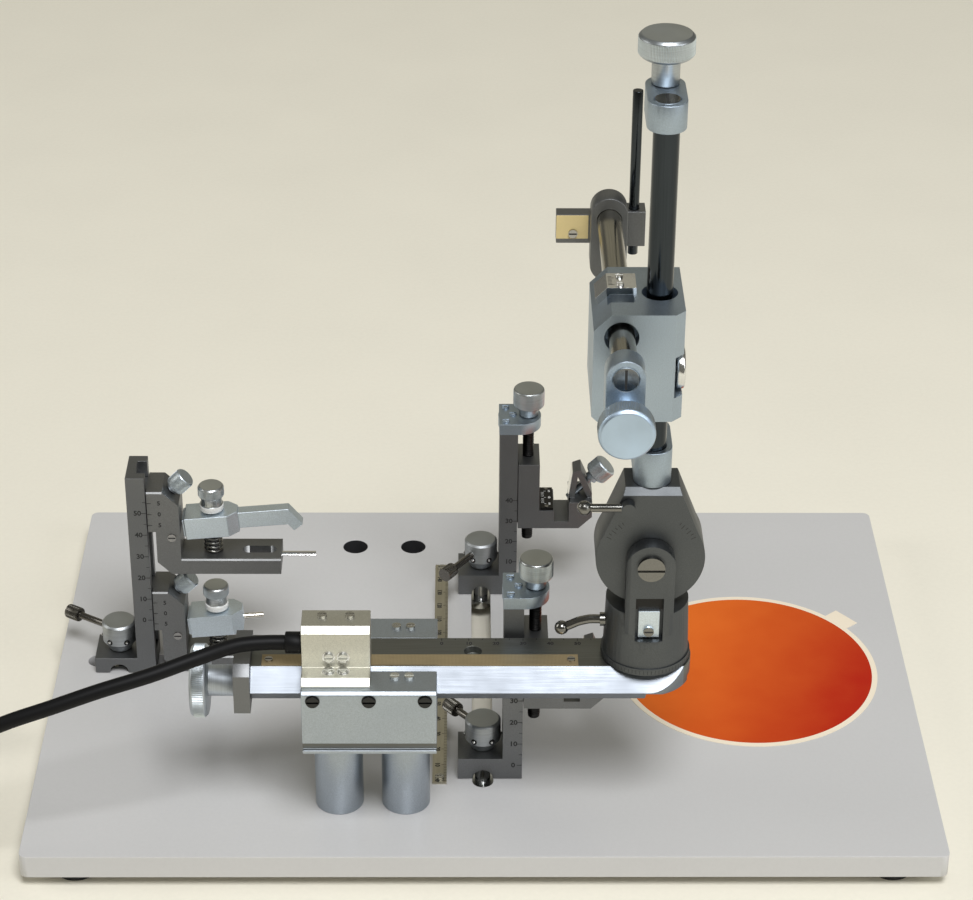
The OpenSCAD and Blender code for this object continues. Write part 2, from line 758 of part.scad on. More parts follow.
// A bracket that holds a rod and the drive screw beside it, on z = 0, the screw towards +Y
module pair_bracket(t, rod_from) {
    difference() {
        capsule(pair_r, pair_gap, t);
        translate([0, 0, rod_from]) cylinder(d = rod_d + 2 * seat, h = 2 * t);
        translate([0, pair_gap, -1]) cylinder(d = screw_d + 2 * run, h = t + 2);
    }
}
module dv_foot() {
    color("lightsteelblue") translate([mx, my, head_top_z]) pair_bracket(foot_t, -1);
}
module dv_top() {
    color("lightsteelblue") translate([mx, my, top_br_z]) {
        pair_bracket(top_br_t, -1);
        translate([0, 0, top_br_t - end_screw]) screw_head(rod_d, end_screw);
    }
}
module dv_drive() {
    z1 = top_br_z + top_br_t + gap;
    color("lightsteelblue") translate([mx, dv_sy, 0]) {
        translate([0, 0, z1]) knob(neck_d, dv_neck_l, knob_d, knob_t, knob_edge);
        rod_z(screw_d, head_top_z + 1, z1 + eps, 0, 0);
    }
}

// Carriage on the upright rod
lock_d = 15;
lock_y = car_y0 + 9;
lock_up = 16.7;
lock_z = car_z + lock_up;
lock_sunk = 3;
// Window in the carriage's top that shows the cross rod
sight_y = car_y0 + 9.5;
sight_l = 6;
lock_pin = 5;
module carriage_block() {
    c = car_bevel;
    k = 3.5;
    relief = 6;
    low = 2;
    dv_ring = 3.4;
    ml_ring = 2.8;
    pin_hole = 7;
    color("lightsteelblue") difference() {
        intersection() {
            along_y(car_y0, car_y1) polygon([
                [car_x0 + low, car_z], [car_x1, car_z], [car_x1, car_top_z], [car_x0 + c, car_top_z],
                [car_x0, car_top_z - c], [car_x0, car_z + low]
            ]);
            translate([0, 0, car_z - 1]) linear_extrude(car_h + 2) polygon([
                [car_x0, car_y0], [car_x1 - k, car_y0], [car_x1, car_y0 + k],
                [car_x1, car_y1], [car_x0, car_y1]
            ]);
        }
        rod_z(rod_d + 2 * run, car_z - 1, car_top_z + 1, mx, my);
        rod_z(rod_d + dv_ring, car_top_z - relief, car_top_z + 1, mx, my);
        rod_z(screw_d + 2 * run, car_z - 1, car_top_z + 1, mx, dv_sy);
        rod_y(rod_d + 2 * run, car_y0 - 1, car_y1 + 1, ml_x, ml_z);
        rod_y(rod_d + ml_ring, car_y0 - 1, car_y0 + relief, ml_x, ml_z);
        rod_y(screw_d + 2 * run, car_y0 - 1, car_y1 + 1, ml_x, ml_sz);
        box(ml_x - rod_d / 2 - run, ml_x + rod_d / 2 + run, sight_y, sight_y + sight_l, ml_z, car_top_z + 1);
        box(car_x1 - lock_sunk, car_x1 + 1, car_y0 - 1, lock_y + lock_d / 2 + gap,
            lock_z - lock_d / 2 - gap, lock_z + lock_d / 2 + gap);
        rod_x(lock_pin + 2 * run, car_x1 - lock_sunk - pin_hole, car_x1 + 1, lock_y, lock_z);
    }
}
module carriage_saddle() {
    t = 2.4;
    d = 11;
    w = 15;
    down = 4;
    in = 2.4;
    head = 2.6;
    head_h = 0.7;
    y0 = sight_y + sight_l;
    x0 = car_x0 + car_bevel;
    out = t * tan(22.5);
    color("silver") {
        along_y(y0, y0 + d) polygon([
            [x0, car_top_z], [x0 - car_bevel + w, car_top_z], [x0 - car_bevel + w, car_top_z + t],
            [x0 - out, car_top_z + t], [x0 - out - down, car_top_z + t - down], [x0 - down, car_top_z - down]
        ]);
        for (y = [in, d - in]) translate([ml_x, y0 + y, car_top_z + t]) screw_head(head, head_h);
    }
}
module carriage_lock() {
    pin_l = 6.5;
    collar = 0.5;
    disc = 3;
    edge = 0.5;
    color("silver") translate([0, lock_y, lock_z]) {
        rod_x(lock_pin, car_x1 - lock_sunk - pin_l, car_x1 - lock_sunk + gap + eps, 0, 0);
        translate([car_x1 - lock_sunk + gap, 0, 0]) rotate([0, 90, 0])
            knob(lock_pin, collar, lock_d, disc, edge);
    }
}

// Cross arm
module ml_rod() {
    color("silver") rod_y(rod_d, ml_y0 + end_screw, ml_y1 - end_screw, ml_x, ml_z);
}
module cross_bracket(y0, t, drop, rise) {
    translate([ml_x, y0, ml_sz]) difference() {
        translate([0, t, -drop]) rotate([90, 0, 0]) capsule(pair_r, pair_gap + drop + rise, t);
        rod_y(screw_d + 2 * run, -1, t + 1, 0, 0);
        rod_y(rod_d + 2 * seat, -1, t + 1, 0, pair_gap);
    }
}
module ml_front_bracket() {
    color("lightsteelblue") {
        cross_bracket(ml_y0, ml_br_t, 0, 0);
        translate([ml_x, ml_y0 + end_screw, ml_z]) rotate([90, 0, 0]) screw_head(rod_d, end_screw);
    }
}
module ml_rear_bracket() {
    color("lightsteelblue") {
        cross_bracket(ml_y1 - ml_br_t, ml_br_t, 5, 2);
        translate([ml_x, ml_y1 - end_screw, ml_z]) rotate([-90, 0, 0]) screw_head(rod_d, end_screw);
    }
}
module ml_drive() {
    color("lightsteelblue") translate([ml_x, 0, ml_sz]) {
        translate([0, ml_y0 - gap, 0]) rotate([90, 0, 0]) knob(neck_d, neck_l, knob_d, knob_t, knob_edge);
        rod_y(screw_d, ml_y0 - gap - eps, ml_y1 - 1, 0, 0);
    }
}
probe_dx = 9.6;
probe_dy = 3.4;
probe_x = ml_x + probe_dx;
probe_y = ml_y1 + probe_dy;
module probe_holder() {
    up = 5.3;
    reach = 19;
    plate = [6, 11.4];
    block = [4.2, 8, 7];
    z = ml_sz + up;
    color("dimgray") difference() {
        union() {
            box(ml_x - reach, probe_x + block.x, ml_y1, ml_y1 + plate.x, z - plate.y / 2, z + plate.y / 2);
            box(probe_x - block.x, probe_x + block.x, ml_y1, ml_y1 + block.y, z - block.z, z + block.z);
        }
        rod_z(probe_d + 2 * run, z - block.z - 1, z + block.z + 1, probe_x, probe_y);
    }
}
module probe_rod() {
    z0 = ml_sz - 6;
    color("silver") rod_z(probe_d, z0, z0 + probe_l, probe_x, probe_y);
}

// A column's foot with its graduated post, front face on y = 0, standing on the plate at z = 0
module column(x0, x1, px, low, high) {
    difference() {
        union() {
            box(x0, x1, 0, col_d, gap, low);
            box(px, x1, 0, col_d, low - eps, high);
        }
        box(x1 - keyway_t, x1 + eps, (col_d - keyway_w) / 2, (col_d + keyway_w) / 2, low, high + eps);
        rod_z(bolt_d + 2 * run, -1, low + 1, x0 + clamp_x, col_d / 2);
        rod_y(notch_d, -1, col_d + 1, x0 + clamp_x, gap);
    }
}
// A slide's key, which runs in the keyway of a post whose right face is at x1
module key(x1, z0, z1) {
    w = keyway_w - 2 * gap;
    box(x1 - keyway_t + gap, x1 + gap + eps, (col_d - w) / 2, (col_d + w) / 2, z0, z1);
}
// Clamp bolt with its capstan knob and tommy bar, knob seated at height z, bar turned to angle a, reach l
module clamp(x, z, a, l) {
    neck = 3.2;
    neck_r = 4.4;
    c = 0.8;
    tip = 6;
    lever_z = z + gap + clamp_h * 0.62;
    color("gray") translate([x, col_d / 2, 0]) {
        rod_z(groove_w - 1, -plate_t + gap, -plate_t + groove_h - gap, 0, 0);
        rod_z(bolt_d, -plate_t + gap, z + gap + neck, 0, 0);
        translate([0, 0, z + gap]) rotate_extrude() polygon([
            [0, 0], [neck_r, 0], [clamp_d / 2 - c, neck], [clamp_d / 2, neck + c],
            [clamp_d / 2, clamp_h - c], [clamp_d / 2 - c, clamp_h], [0, clamp_h]
        ]);
        rotate([0, 0, a]) translate([0, 0, lever_z]) {
            rod_x(tommy_d, clamp_d / 2 - c, l - tip, 0, 0);
            rod_x(tommy_tip_d, l - tip, l, 0, 0);
        }
    }
}

// Ear-bar holder
module ear_post() {
    color("dimgray") column(ear_x0, ear_x1, ear_post_x, foot_h + gap, ear_h);
}
module ear_cap() {
    over = 0.3;
    head = 3;
    head_h = 0.8;
    heads = [[2.4, 3], [2.4, col_d - 3], [5.4, col_d / 2]];
    color("lightsteelblue") translate([0, 0, ear_h]) {
        difference() {
            union() {
                box(ear_post_x - over, ear_screw_x - ear_cap_in, 0, col_d, 0, ear_cap_t);
                rod_z(col_d, 0, ear_cap_t, ear_screw_x - ear_cap_in, col_d / 2);
            }
            rod_z(ear_screw_d + 2 * run, -1, ear_cap_t + 1, ear_screw_x, col_d / 2);
        }
        for (p = heads) translate([ear_post_x + p.x, p.y, ear_cap_t]) screw_head(head, head_h);
    }
}
module ear_drive() {
    z1 = ear_h + ear_cap_t + gap;
    neck = 7.8;
    neck_h = 4;
    disc = 8;
    edge = 0.5;
    below = 9.3;
    color("lightsteelblue") translate([ear_screw_x, col_d / 2, 0]) {
        translate([0, 0, z1]) knob(neck, neck_h, ear_knob_d, disc, edge);
        rod_z(ear_screw_d, ear_at - below, z1 + eps, 0, 0);
    }
}
chan_x = ear_slide_x + ear_slide_w + 6.2;
lug_x = chan_x + chan_w;
lug_w = 9.6;
arm_h = 8.5;
chan_floor = 3.2;
lug_h = 12.4;
strap_w = 9;
index_in = 0.6;
index_t = 1;
knob_pin = 3;
bar_knob_d = 10;
ear_knob_dir = [0, 45, 0];
ear_knob_p = [lug_x + 7.3, col_d / 2, 17.5];
module ear_carriage() {
    slide_h = 30.6;
    cut = 5.5;
    hole_in = 14;
    hole_l = 30;
    // Strap's outline and its window, from the lug's left top corner
    strap = [[0, -eps], [1.6, 12], [4.8, 13.2], [lug_w, 2], [lug_w, -eps]];
    light = [[2.4, 0], [3.6, 9.8], [lug_w - 1.9, 0]];
    x1 = ear_slide_x + ear_slide_w;
    end_x = lug_x + lug_w;
    color("dimgray") difference() {
        translate([0, 0, ear_at]) {
            along_y(0, col_d) polygon([
                [ear_slide_x, 0], [end_x - cut, 0], [end_x, cut], [end_x, lug_h], [lug_x, lug_h],
                [lug_x, chan_floor], [chan_x, chan_floor], [chan_x, arm_h], [x1, arm_h], [x1, slide_h],
                [ear_slide_x, slide_h]
            ]);
            along_y((col_d - strap_w) / 2, (col_d + strap_w) / 2) translate([lug_x, lug_h]) difference() {
                polygon(strap);
                polygon(light);
            }
            key(ear_x1, 0, slide_h);
            box(x1 + index_in, chan_x - index_in, index_in, col_d - index_in, arm_h - eps, arm_h + index_t);
        }
        rod_z(ear_screw_d + 2 * run, ear_at - 1, ear_at + slide_h + 1, ear_screw_x, col_d / 2);
        translate([ear_knob_p.x, ear_knob_p.y, ear_at + ear_knob_p.z]) rotate(ear_knob_dir)
            translate([0, 0, -hole_in]) cylinder(d = knob_pin + 2 * run, h = hole_l);
    }
}
module ear_knob() {
    pin_in = 10.5;
    pin_l = 14;
    up = 2.4;
    neck = 5.4;
    neck_h = 2.4;
    disc = 7;
    edge = 0.6;
    color("gray") translate([ear_knob_p.x, ear_knob_p.y, ear_at + ear_knob_p.z]) rotate(ear_knob_dir) {
        translate([0, 0, -pin_in]) cylinder(d = knob_pin, h = pin_l);
        translate([0, 0, up]) knob(neck, neck_h, bar_knob_d, disc, edge);
    }
}
module near_holder() translate([0, near_y, top]) children();
module far_holder() translate([0, far_y, top]) children();
module near_ear_post() near_holder() ear_post();
module near_ear_cap() near_holder() ear_cap();
module near_ear_drive() near_holder() ear_drive();
module near_ear_carriage() near_holder() ear_carriage();
module near_ear_knob() near_holder() ear_knob();
module near_ear_clamp() near_holder() clamp(ear_x0 + clamp_x, foot_h + gap, 130, near_tommy);
module far_ear_post() far_holder() ear_post();
module far_ear_cap() far_holder() ear_cap();
module far_ear_drive() far_holder() ear_drive();
module far_ear_carriage() far_holder() ear_carriage();
module far_ear_knob() far_holder() ear_knob();
module far_ear_clamp() far_holder() clamp(ear_x0 + clamp_x, foot_h + gap, 234, far_tommy);

// Nose column and its two carriages
module nose_column() translate([0, nose_y, top]) children();
module nose_post() {
    color("dimgray") nose_column() column(nose_x0, nose_x1, nose_post_x, nose_foot_h + gap, nose_h);
}
module nose_post_clamp() nose_column() clamp(nose_x0 + clamp_x, nose_foot_h + gap, 148, far_tommy);
nose_slit_w = 5;
nose_cut = 6.2;
jaw_gap = 0.4;
jaw_z = nose_up + nose_t + spring_h + jaw_gap;
jaw_top_z = jaw_z + jaw_t + 0.5;
nose_knob_z = jaw_top_z + 0.4;
nose_lock_p = [nose_leg_x + nose_leg_w - nose_cut / 2, col_d / 2, nose_up + nose_car_h - nose_cut / 2];
module nose_carriage() {
    leg_x1 = nose_leg_x + nose_leg_w;
    end_x = leg_x1 + nose_arm - nose_leg_w;
    z0 = nose_up;
    flange = 18;
    heel = 5.5;
    pin = 2;
    pin_l = 13.5;
    stud_in = 3.5;
    slit_l = 13.5;
    slit_in = 8.7;
    hole_l = 8;
    edge = 0.8;
    edges = [
        [leg_x1, end_x + 1, nose_t],
        [nose_car_x - 1, leg_x1 - nose_cut, nose_car_h]
    ];
    y1 = col_d - nose_y0;
    color("dimgray") difference() {
        union() {
            along_y(nose_y0, y1) polygon([
                [nose_car_x, z0 + nose_car_h - flange], [nose_car_x, z0 + nose_car_h],
                [leg_x1 - nose_cut, z0 + nose_car_h], [leg_x1, z0 + nose_car_h - nose_cut],
                [leg_x1, z0 + nose_t], [end_x, z0 + nose_t], [end_x, z0], [nose_leg_x + heel, z0],
                [nose_leg_x, z0 + heel], [nose_leg_x, z0 + nose_car_h - flange]
            ]);
            key(nose_x1, z0 + nose_car_h - flange, z0 + nose_car_h);
            rod_z(stud_d, z0 + 1, nose_knob_z + collar_t + stud_in, stud_x, col_d / 2);
            rod_x(pin, end_x - eps, end_x + pin_l, col_d / 2, z0 + nose_t - pin);
        }
        translate([end_x - slit_in, col_d / 2, z0 - 1]) rotate([0, 0, 90])
            linear_extrude(nose_t + 2) slot_2d(nose_slit_w, slit_l);
        translate(nose_lock_p) rotate([0, 45, 0])
            translate([0, 0, -hole_l / 2]) cylinder(d = knob_pin + 2 * run, h = hole_l);
        for (line = edges)
            translate([0, nose_y0, z0 + line.z]) rotate([45, 0, 0])
                box(line.x, line.y, -edge / 2, edge / 2, -edge / 2, edge / 2);
    }
}
module nose_lock() {
    pin_in = 3.5;
    pin_l = 5;
    neck = 5;
    neck_h = 1.2;
    d = 8;
    disc = 7;
    edge = 0.5;
    color("silver") translate(nose_lock_p) rotate([0, 45, 0]) {
        translate([0, 0, -pin_in]) cylinder(d = knob_pin, h = pin_l);
        translate([0, 0, gap]) knob(neck, neck_h, d, disc, edge);
    }
}
module nose_jaw(tongued) {
    half = 6;
    shoulder = 7;
    end_x = 11;
    step = 1;
    tongue = [31, 5, 7];
    tongue_z = 1.5;
    hook = [9, 5, 4.6];
    hook_turn = 56;
    pin = 2.2;
    pin_l = 8;
    bore_d = stud_d + 1.8;
    color("lightsteelblue") difference() {
        translate([stud_x, col_d / 2, jaw_z]) rotate([0, -jaw_tilt, 0]) {
            linear_extrude(jaw_t) polygon([
                [step - jaw_l, -half], [shoulder, -half], [end_x, -tongue.y / 2], [end_x, tongue.y / 2],
                [shoulder, half], [step - jaw_l, half]
            ]);
            box(-jaw_l, step - jaw_l + eps, step - half, half - step, step, jaw_t - step);
            if (tongued) {
                box(shoulder, tongue.x, -tongue.y / 2, tongue.y / 2, tongue_z, tongue_z + tongue.z);
                translate([tongue.x, -hook.y / 2, tongue_z + tongue.z]) rotate([0, hook_turn, 0])
                    translate([0, 0, -hook.z]) cube(hook);
            } else {
                rod_x(pin, shoulder, end_x + pin_l, 0, jaw_t / 2);
            }
        }
        rod_z(bore_d, jaw_z - 3, jaw_z + jaw_t + 3, stud_x, col_d / 2);
    }
}
module nose_knob() {
    waist_d = nose_knob_d - 1.8;
    waist_h = 3.3;
    edge = 0.6;
    bore_h = collar_t + 7;
    color("gray") translate([stud_x, col_d / 2, nose_knob_z]) difference() {
        union() {
            cylinder(d = nose_knob_d - edge, h = collar_t);
            knob(waist_d, collar_t + waist_h, nose_knob_d, nose_knob_h - waist_h, edge);
        }
        translate([0, 0, -1]) cylinder(d = stud_d + 2 * run, h = bore_h + 1);
    }
}
spring_r = 3.3;
spring_low = spring_wire * 1.2;
spring_rise = spring_h - 2 * spring_low;
spring_path = concat(
    [[spring_r, 0, 0]],
    [for (i = [0 : 8 * spring_n]) [spring_r * cos(45 * i), spring_r * sin(45 * i),
        spring_low + spring_rise * i / (8 * spring_n)]],
    [[spring_r, 0, spring_h]]
);
echo(spring_least_gap = self_gap(spring_path, spring_wire, 5));
module nose_spring() {
    color("silver") translate([stud_x, col_d / 2, nose_up + nose_t]) tube(spring_path, spring_wire, 6);
}
module lower() translate([0, 0, -nose_pitch]) children();
module upper_nose_carriage() nose_column() nose_carriage();
module upper_nose_lock() nose_column() nose_lock();
module upper_nose_jaw() nose_column() nose_jaw(true);
module upper_nose_knob() nose_column() nose_knob();
module upper_nose_spring() nose_column() nose_spring();
module lower_nose_carriage() nose_column() lower() nose_carriage();
module lower_nose_lock() nose_column() lower() nose_lock();
module lower_nose_jaw() nose_column() lower() nose_jaw(false);
module lower_nose_knob() nose_column() lower() nose_knob();
module lower_nose_spring() nose_column() lower() nose_spring();

on_bench() base_plate();
on_bench() rubber_feet();
on_bench() rule();
on_bench() sticker();
on_bench() bracket_posts();
on_bench() drive_bracket();
on_bench() read_head();
on_bench() base_screws();
on_bench() drive_nut();
on_bench() cable_gland();
on_bench() cable();
on_bench() cable_coil();
on_bench() connector();
on_bench() guide_bar();
on_bench() encoder_strip();
on_bench() thrust_block();
on_bench() ap_drive();
on_bench() tower();
on_bench() tower_latch();
on_bench() swivel_lever();
on_bench() pivot_screw();
on_bench() tilt_head();
on_bench() tilt_lever();
on_bench() dv_rod();
on_bench() dv_foot();
on_bench() dv_top();
on_bench() dv_drive();
on_bench() carriage_block();
on_bench() carriage_saddle();
on_bench() carriage_lock();
on_bench() ml_rod();
on_bench() ml_front_bracket();
on_bench() ml_rear_bracket();
on_bench() ml_drive();
on_bench() probe_holder();
on_bench() probe_rod();
on_bench() near_ear_post();
on_bench() near_ear_cap();
on_bench() near_ear_drive();
on_bench() near_ear_carriage();
on_bench() near_ear_knob();
on_bench() near_ear_clamp();
on_bench() far_ear_post();
on_bench() far_ear_cap();
on_bench() far_ear_drive();
on_bench() far_ear_carriage();
on_bench() far_ear_knob();
on_bench() far_ear_clamp();
on_bench() nose_post();
on_bench() nose_post_clamp();
on_bench() upper_nose_carriage();
on_bench() upper_nose_lock();
on_bench() upper_nose_jaw();
on_bench() upper_nose_knob();
on_bench() upper_nose_spring();
on_bench() lower_nose_carriage();
on_bench() lower_nose_lock();
on_bench() lower_nose_jaw();
on_bench() lower_nose_knob();
on_bench() lower_nose_spring();
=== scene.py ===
"""Dresses the stereotaxic frame with finishes, scales, knurls, threads and its cable, in a small studio."""

from __future__ import annotations

import json
import logging
import math
from dataclasses import dataclass
from enum import Enum
from typing import Any, Sequence

import bmesh
import bpy
from bpy.types import Material, Mesh, NodeSocket
from mathutils import Matrix, Vector

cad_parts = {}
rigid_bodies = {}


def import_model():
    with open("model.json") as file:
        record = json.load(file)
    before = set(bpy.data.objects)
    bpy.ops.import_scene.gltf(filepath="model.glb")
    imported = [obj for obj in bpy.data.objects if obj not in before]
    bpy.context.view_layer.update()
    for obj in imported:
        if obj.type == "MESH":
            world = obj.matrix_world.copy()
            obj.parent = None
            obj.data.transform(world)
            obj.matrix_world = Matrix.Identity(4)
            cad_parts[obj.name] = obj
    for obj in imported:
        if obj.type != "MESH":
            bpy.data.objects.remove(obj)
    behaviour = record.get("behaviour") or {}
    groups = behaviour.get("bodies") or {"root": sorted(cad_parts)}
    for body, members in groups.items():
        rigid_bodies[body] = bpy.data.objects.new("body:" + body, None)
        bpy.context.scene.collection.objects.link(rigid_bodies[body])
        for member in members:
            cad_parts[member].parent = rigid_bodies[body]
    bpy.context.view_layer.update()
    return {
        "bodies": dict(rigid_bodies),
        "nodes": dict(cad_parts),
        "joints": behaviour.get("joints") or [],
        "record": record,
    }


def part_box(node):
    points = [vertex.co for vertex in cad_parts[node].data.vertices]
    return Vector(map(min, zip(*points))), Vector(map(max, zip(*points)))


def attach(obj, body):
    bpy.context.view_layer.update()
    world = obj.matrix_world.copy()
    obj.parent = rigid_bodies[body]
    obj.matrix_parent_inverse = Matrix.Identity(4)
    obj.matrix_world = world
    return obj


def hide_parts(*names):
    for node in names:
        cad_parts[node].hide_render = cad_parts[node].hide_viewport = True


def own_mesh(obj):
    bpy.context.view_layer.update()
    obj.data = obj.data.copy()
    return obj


LOG = logging.getLogger("stereotaxic_frame")
MM = 0.001
BENCH_Y = 12.15  # From the row frame's middle to the plate's, in millimetres
FAR = 1.0  # A bound beyond every piece, in metres
RIGHT, BACK, UP = Vector((1, 0, 0)), Vector((0, 1, 0)), Vector((0, 0, 1))
Colour = tuple[float, float, float]

ALUMINIUM: Colour = (0.43, 0.475, 0.52)
PALE: Colour = (0.70, 0.78, 0.84)
TOWER_GREY: Colour = (0.116, 0.123, 0.128)
CHROME: Colour = (0.22, 0.215, 0.20)
OXIDE: Colour = (0.035, 0.034, 0.033)
OXIDE_ROUGHNESS = 0.34
CABLE_BLACK: Colour = (0.004, 0.004, 0.0045)


def at(x: float, y: float, z: float) -> Vector:
    """Gives a point of the plate's own frame, in millimetres, as one of the row frame, in metres."""
    return Vector((x, y + BENCH_Y, z)) * MM


def shade(colour: Colour, factor: float) -> Colour:
    """Gives a darker or lighter colour, up to full."""
    return tuple(min(1.0, factor * part) for part in colour)


def basis(origin: Vector, x: Vector, y: Vector) -> Matrix:
    """Gives the matrix of a frame.

    Args:
        origin: The frame's origin.
        x: Its first axis.
        y: Its second axis, square to the first.

    Returns:
        The matrix that takes the frame's points to the row frame.
    """
    x, y = x.normalized(), y.normalized()
    z = x.cross(y)
    return Matrix([[x[i], y[i], z[i], origin[i]] for i in range(3)] + [[0.0, 0.0, 0.0, 1.0]])


def upright(origin: Vector, z: Vector) -> Matrix:
    """Gives the matrix of a frame whose Z lies along a direction."""
    return Matrix.Translation(origin) @ z.to_track_quat("Z", "Y").to_matrix().to_4x4()


def linked(name: str, data: Any) -> bpy.types.Object:
    """Makes an object and links it to the scene.

    Args:
        name: The object's name.
        data: Its mesh, curve, light or camera.

    Returns:
        The object.
    """
    made = bpy.data.objects.new(name, data)
    bpy.context.scene.collection.objects.link(made)
    return made


def evaluated(host: bpy.types.Object) -> Mesh:
    """Keeps what an object's modifiers or curve make as a plain mesh."""
    graph = bpy.context.evaluated_depsgraph_get()
    return bpy.data.meshes.new_from_object(host.evaluated_get(graph))


def mesh_of(name: str, shape: bmesh.types.BMesh) -> Mesh:
    """Turns a working shape into a mesh and frees it.

    Args:
        name: The mesh's name.
        shape: The working shape.

    Returns:
        The mesh.
    """
    mesh = bpy.data.meshes.new(name)
    shape.to_mesh(mesh)
    shape.free()
    return mesh


def merged(name: str, meshes: Sequence[Mesh]) -> Mesh:
    """Joins meshes into one and drops them.

    Args:
        name: The new mesh's name.
        meshes: The meshes.

    Returns:
        The new mesh.
    """
    shape = bmesh.new()
    for mesh in meshes:
        shape.from_mesh(mesh)
        bpy.data.meshes.remove(mesh)
    return mesh_of(name, shape)


class Axis(Enum):
    """An axis of the row frame."""

    X = 0
    Y = 1
    Z = 2


class Edge(Enum):
    """How far the edges of a machined piece are broken, in millimetres."""

    RAW = 0.0
    FINE = 0.18
    SOFT = 0.35
    ROUND = 0.8


class Grain(Enum):
    """The marks that the last tool left on a metal."""

    BLASTED = "no direction"
    DRAWN = "lines along the axis"
    TURNED = "rings round the axis"


class NodeBench:
    """Adds nodes to a node tree and links them."""

    def __init__(self, tree: bpy.types.NodeTree, prefix: str) -> None:
        """Takes over a tree.

        Args:
            tree: The node tree.
            prefix: What the names of its node types start with.
        """
        self.tree = tree
        self.prefix = prefix

    def feed(self, socket: NodeSocket, value: Any) -> None:
        """Links an input to an output, or sets its value.

        Args:
            socket: The input.
            value: An output, a number, a vector or a colour.
        """
        if isinstance(value, NodeSocket):
            self.tree.links.new(value, socket)
        elif socket.type == "RGBA":
            socket.default_value = (*value, 1.0)
        else:
            socket.default_value = value

    def add(self, kind: str, inputs: dict[str | int, Any], out: str | int = 0, **options: Any) -> NodeSocket:
        """Adds a node.

        Args:
            kind: The node's type without its prefix, or a function node's whole type.
            inputs: Sockets or values by the input's name or place.
            out: The name or place of the output.
            options: The node's own options.

        Returns:
            The output.
        """
        node = self.tree.nodes.new(kind if kind.startswith("Function") else self.prefix + kind)
        for key, value in options.items():
            setattr(node, key, value)
        for key, value in inputs.items():
            self.feed(node.inputs[key], value)
        return node.outputs[out]


# Finishes


class ShaderBench(NodeBench):
    """Lays out the nodes of one material around a Principled shader."""

    relief: float = 0.0002

    def __init__(self, name: str) -> None:
        """Starts an empty material.

        Args:
            name: The material's name.
        """
        self.material = bpy.data.materials.new(name)
        self.material.use_nodes = True
        super().__init__(self.material.node_tree, "ShaderNode")
        self.tree.nodes.clear()
        output = self.tree.nodes.new("ShaderNodeOutputMaterial")
        self.shader = self.tree.nodes.new("ShaderNodeBsdfPrincipled")
        self.tree.links.new(self.shader.outputs[0], output.inputs[0])
        self.coords = self.add("TexCoord", {}, "Object")

    def noise(self, scale: Sequence[float], detail: float = 4.0) -> NodeSocket:
        """Adds noise with its own count of features per metre along each axis."""
        place = self.add("Mapping", {"Vector": self.coords, "Scale": tuple(scale)})
        return self.add("TexNoise", {"Vector": place, "Scale": 1.0, "Detail": detail})

    def spread(self, value: Any, low: float, high: float, start: float = 0.3, end: float = 0.7) -> NodeSocket:
        """Maps a value that runs from start to end to one that runs from low to high."""
        limits = {"From Min": start, "From Max": end, "To Min": low, "To Max": high}
        return self.add("MapRange", {"Value": value, **limits})

    def math(self, operation: str, a: Any, b: Any = 0.0) -> NodeSocket:
        """Adds a math node."""
        return self.add("Math", {0: a, 1: b}, operation=operation)

    def mix(self, factor: Any, a: Any, b: Any) -> NodeSocket:
        """Mixes two colours."""
        return self.add("Mix", {0: factor, 6: a, 7: b}, 2, data_type="RGBA")

    def blend(self, factor: Any, a: Any, b: Any) -> NodeSocket:
        """Mixes two numbers."""
        return self.add("Mix", {0: factor, 2: a, 3: b})

    def part(self, axis: Axis, middle: float = 0.0) -> NodeSocket:
        """Gives one coordinate of the shaded point, from a middle."""
        place = self.add("SeparateXYZ", {0: self.coords}, axis.value)
        return self.math("SUBTRACT", place, middle) if middle else place

    def between(self, value: Any, low: float, high: float) -> NodeSocket:
        """Gives 1 where a value lies between low and high, and 0 elsewhere."""
        above, below = self.math("GREATER_THAN", value, low), self.math("LESS_THAN", value, high)
        return self.math("MULTIPLY", above, below)

    def away(self, middle: tuple[float, float]) -> NodeSocket:
        """Gives how far the shaded point is from an upright axis.

        Args:
            middle: The axis's X and Y in metres.

        Returns:
            The distance in metres.
        """
        squares = []
        for axis, place in zip((Axis.X, Axis.Y), middle):
            off = self.part(axis, place)
            squares.append(self.math("MULTIPLY", off, off))
        return self.math("SQRT", self.math("ADD", *squares))

    def done(self, height: NodeSocket, strength: float, **inputs: Any) -> Material:
        """Sets the shader's inputs and raises the surface by a height, seen in the light alone.

        Args:
            height: The height.
            strength: How much of it shows.
            inputs: The shader's inputs, with underscores for the spaces in their names.

        Returns:
            The finished material.
        """
        relief = {"Height": height, "Strength": strength, "Distance": self.relief}
        inputs["Normal"] = self.add("Bump", relief)
        for name, value in inputs.items():
            self.feed(self.shader.inputs[name.replace("_", " ")], value)
        return self.material


@dataclass(frozen=True)
class Band:
    """A stretch of a piece along one axis with a finish of its own, in metres."""

    axis: Axis
    low: float
    high: float
    colour: Colour
    roughness: float
    metallic: float = 1.0


@dataclass(frozen=True)
class Beyond:
    """What lies further than a radius from an upright axis, with a finish of its own, in metres."""

    middle: tuple[float, float]
    radius: float
    colour: Colour
    roughness: float


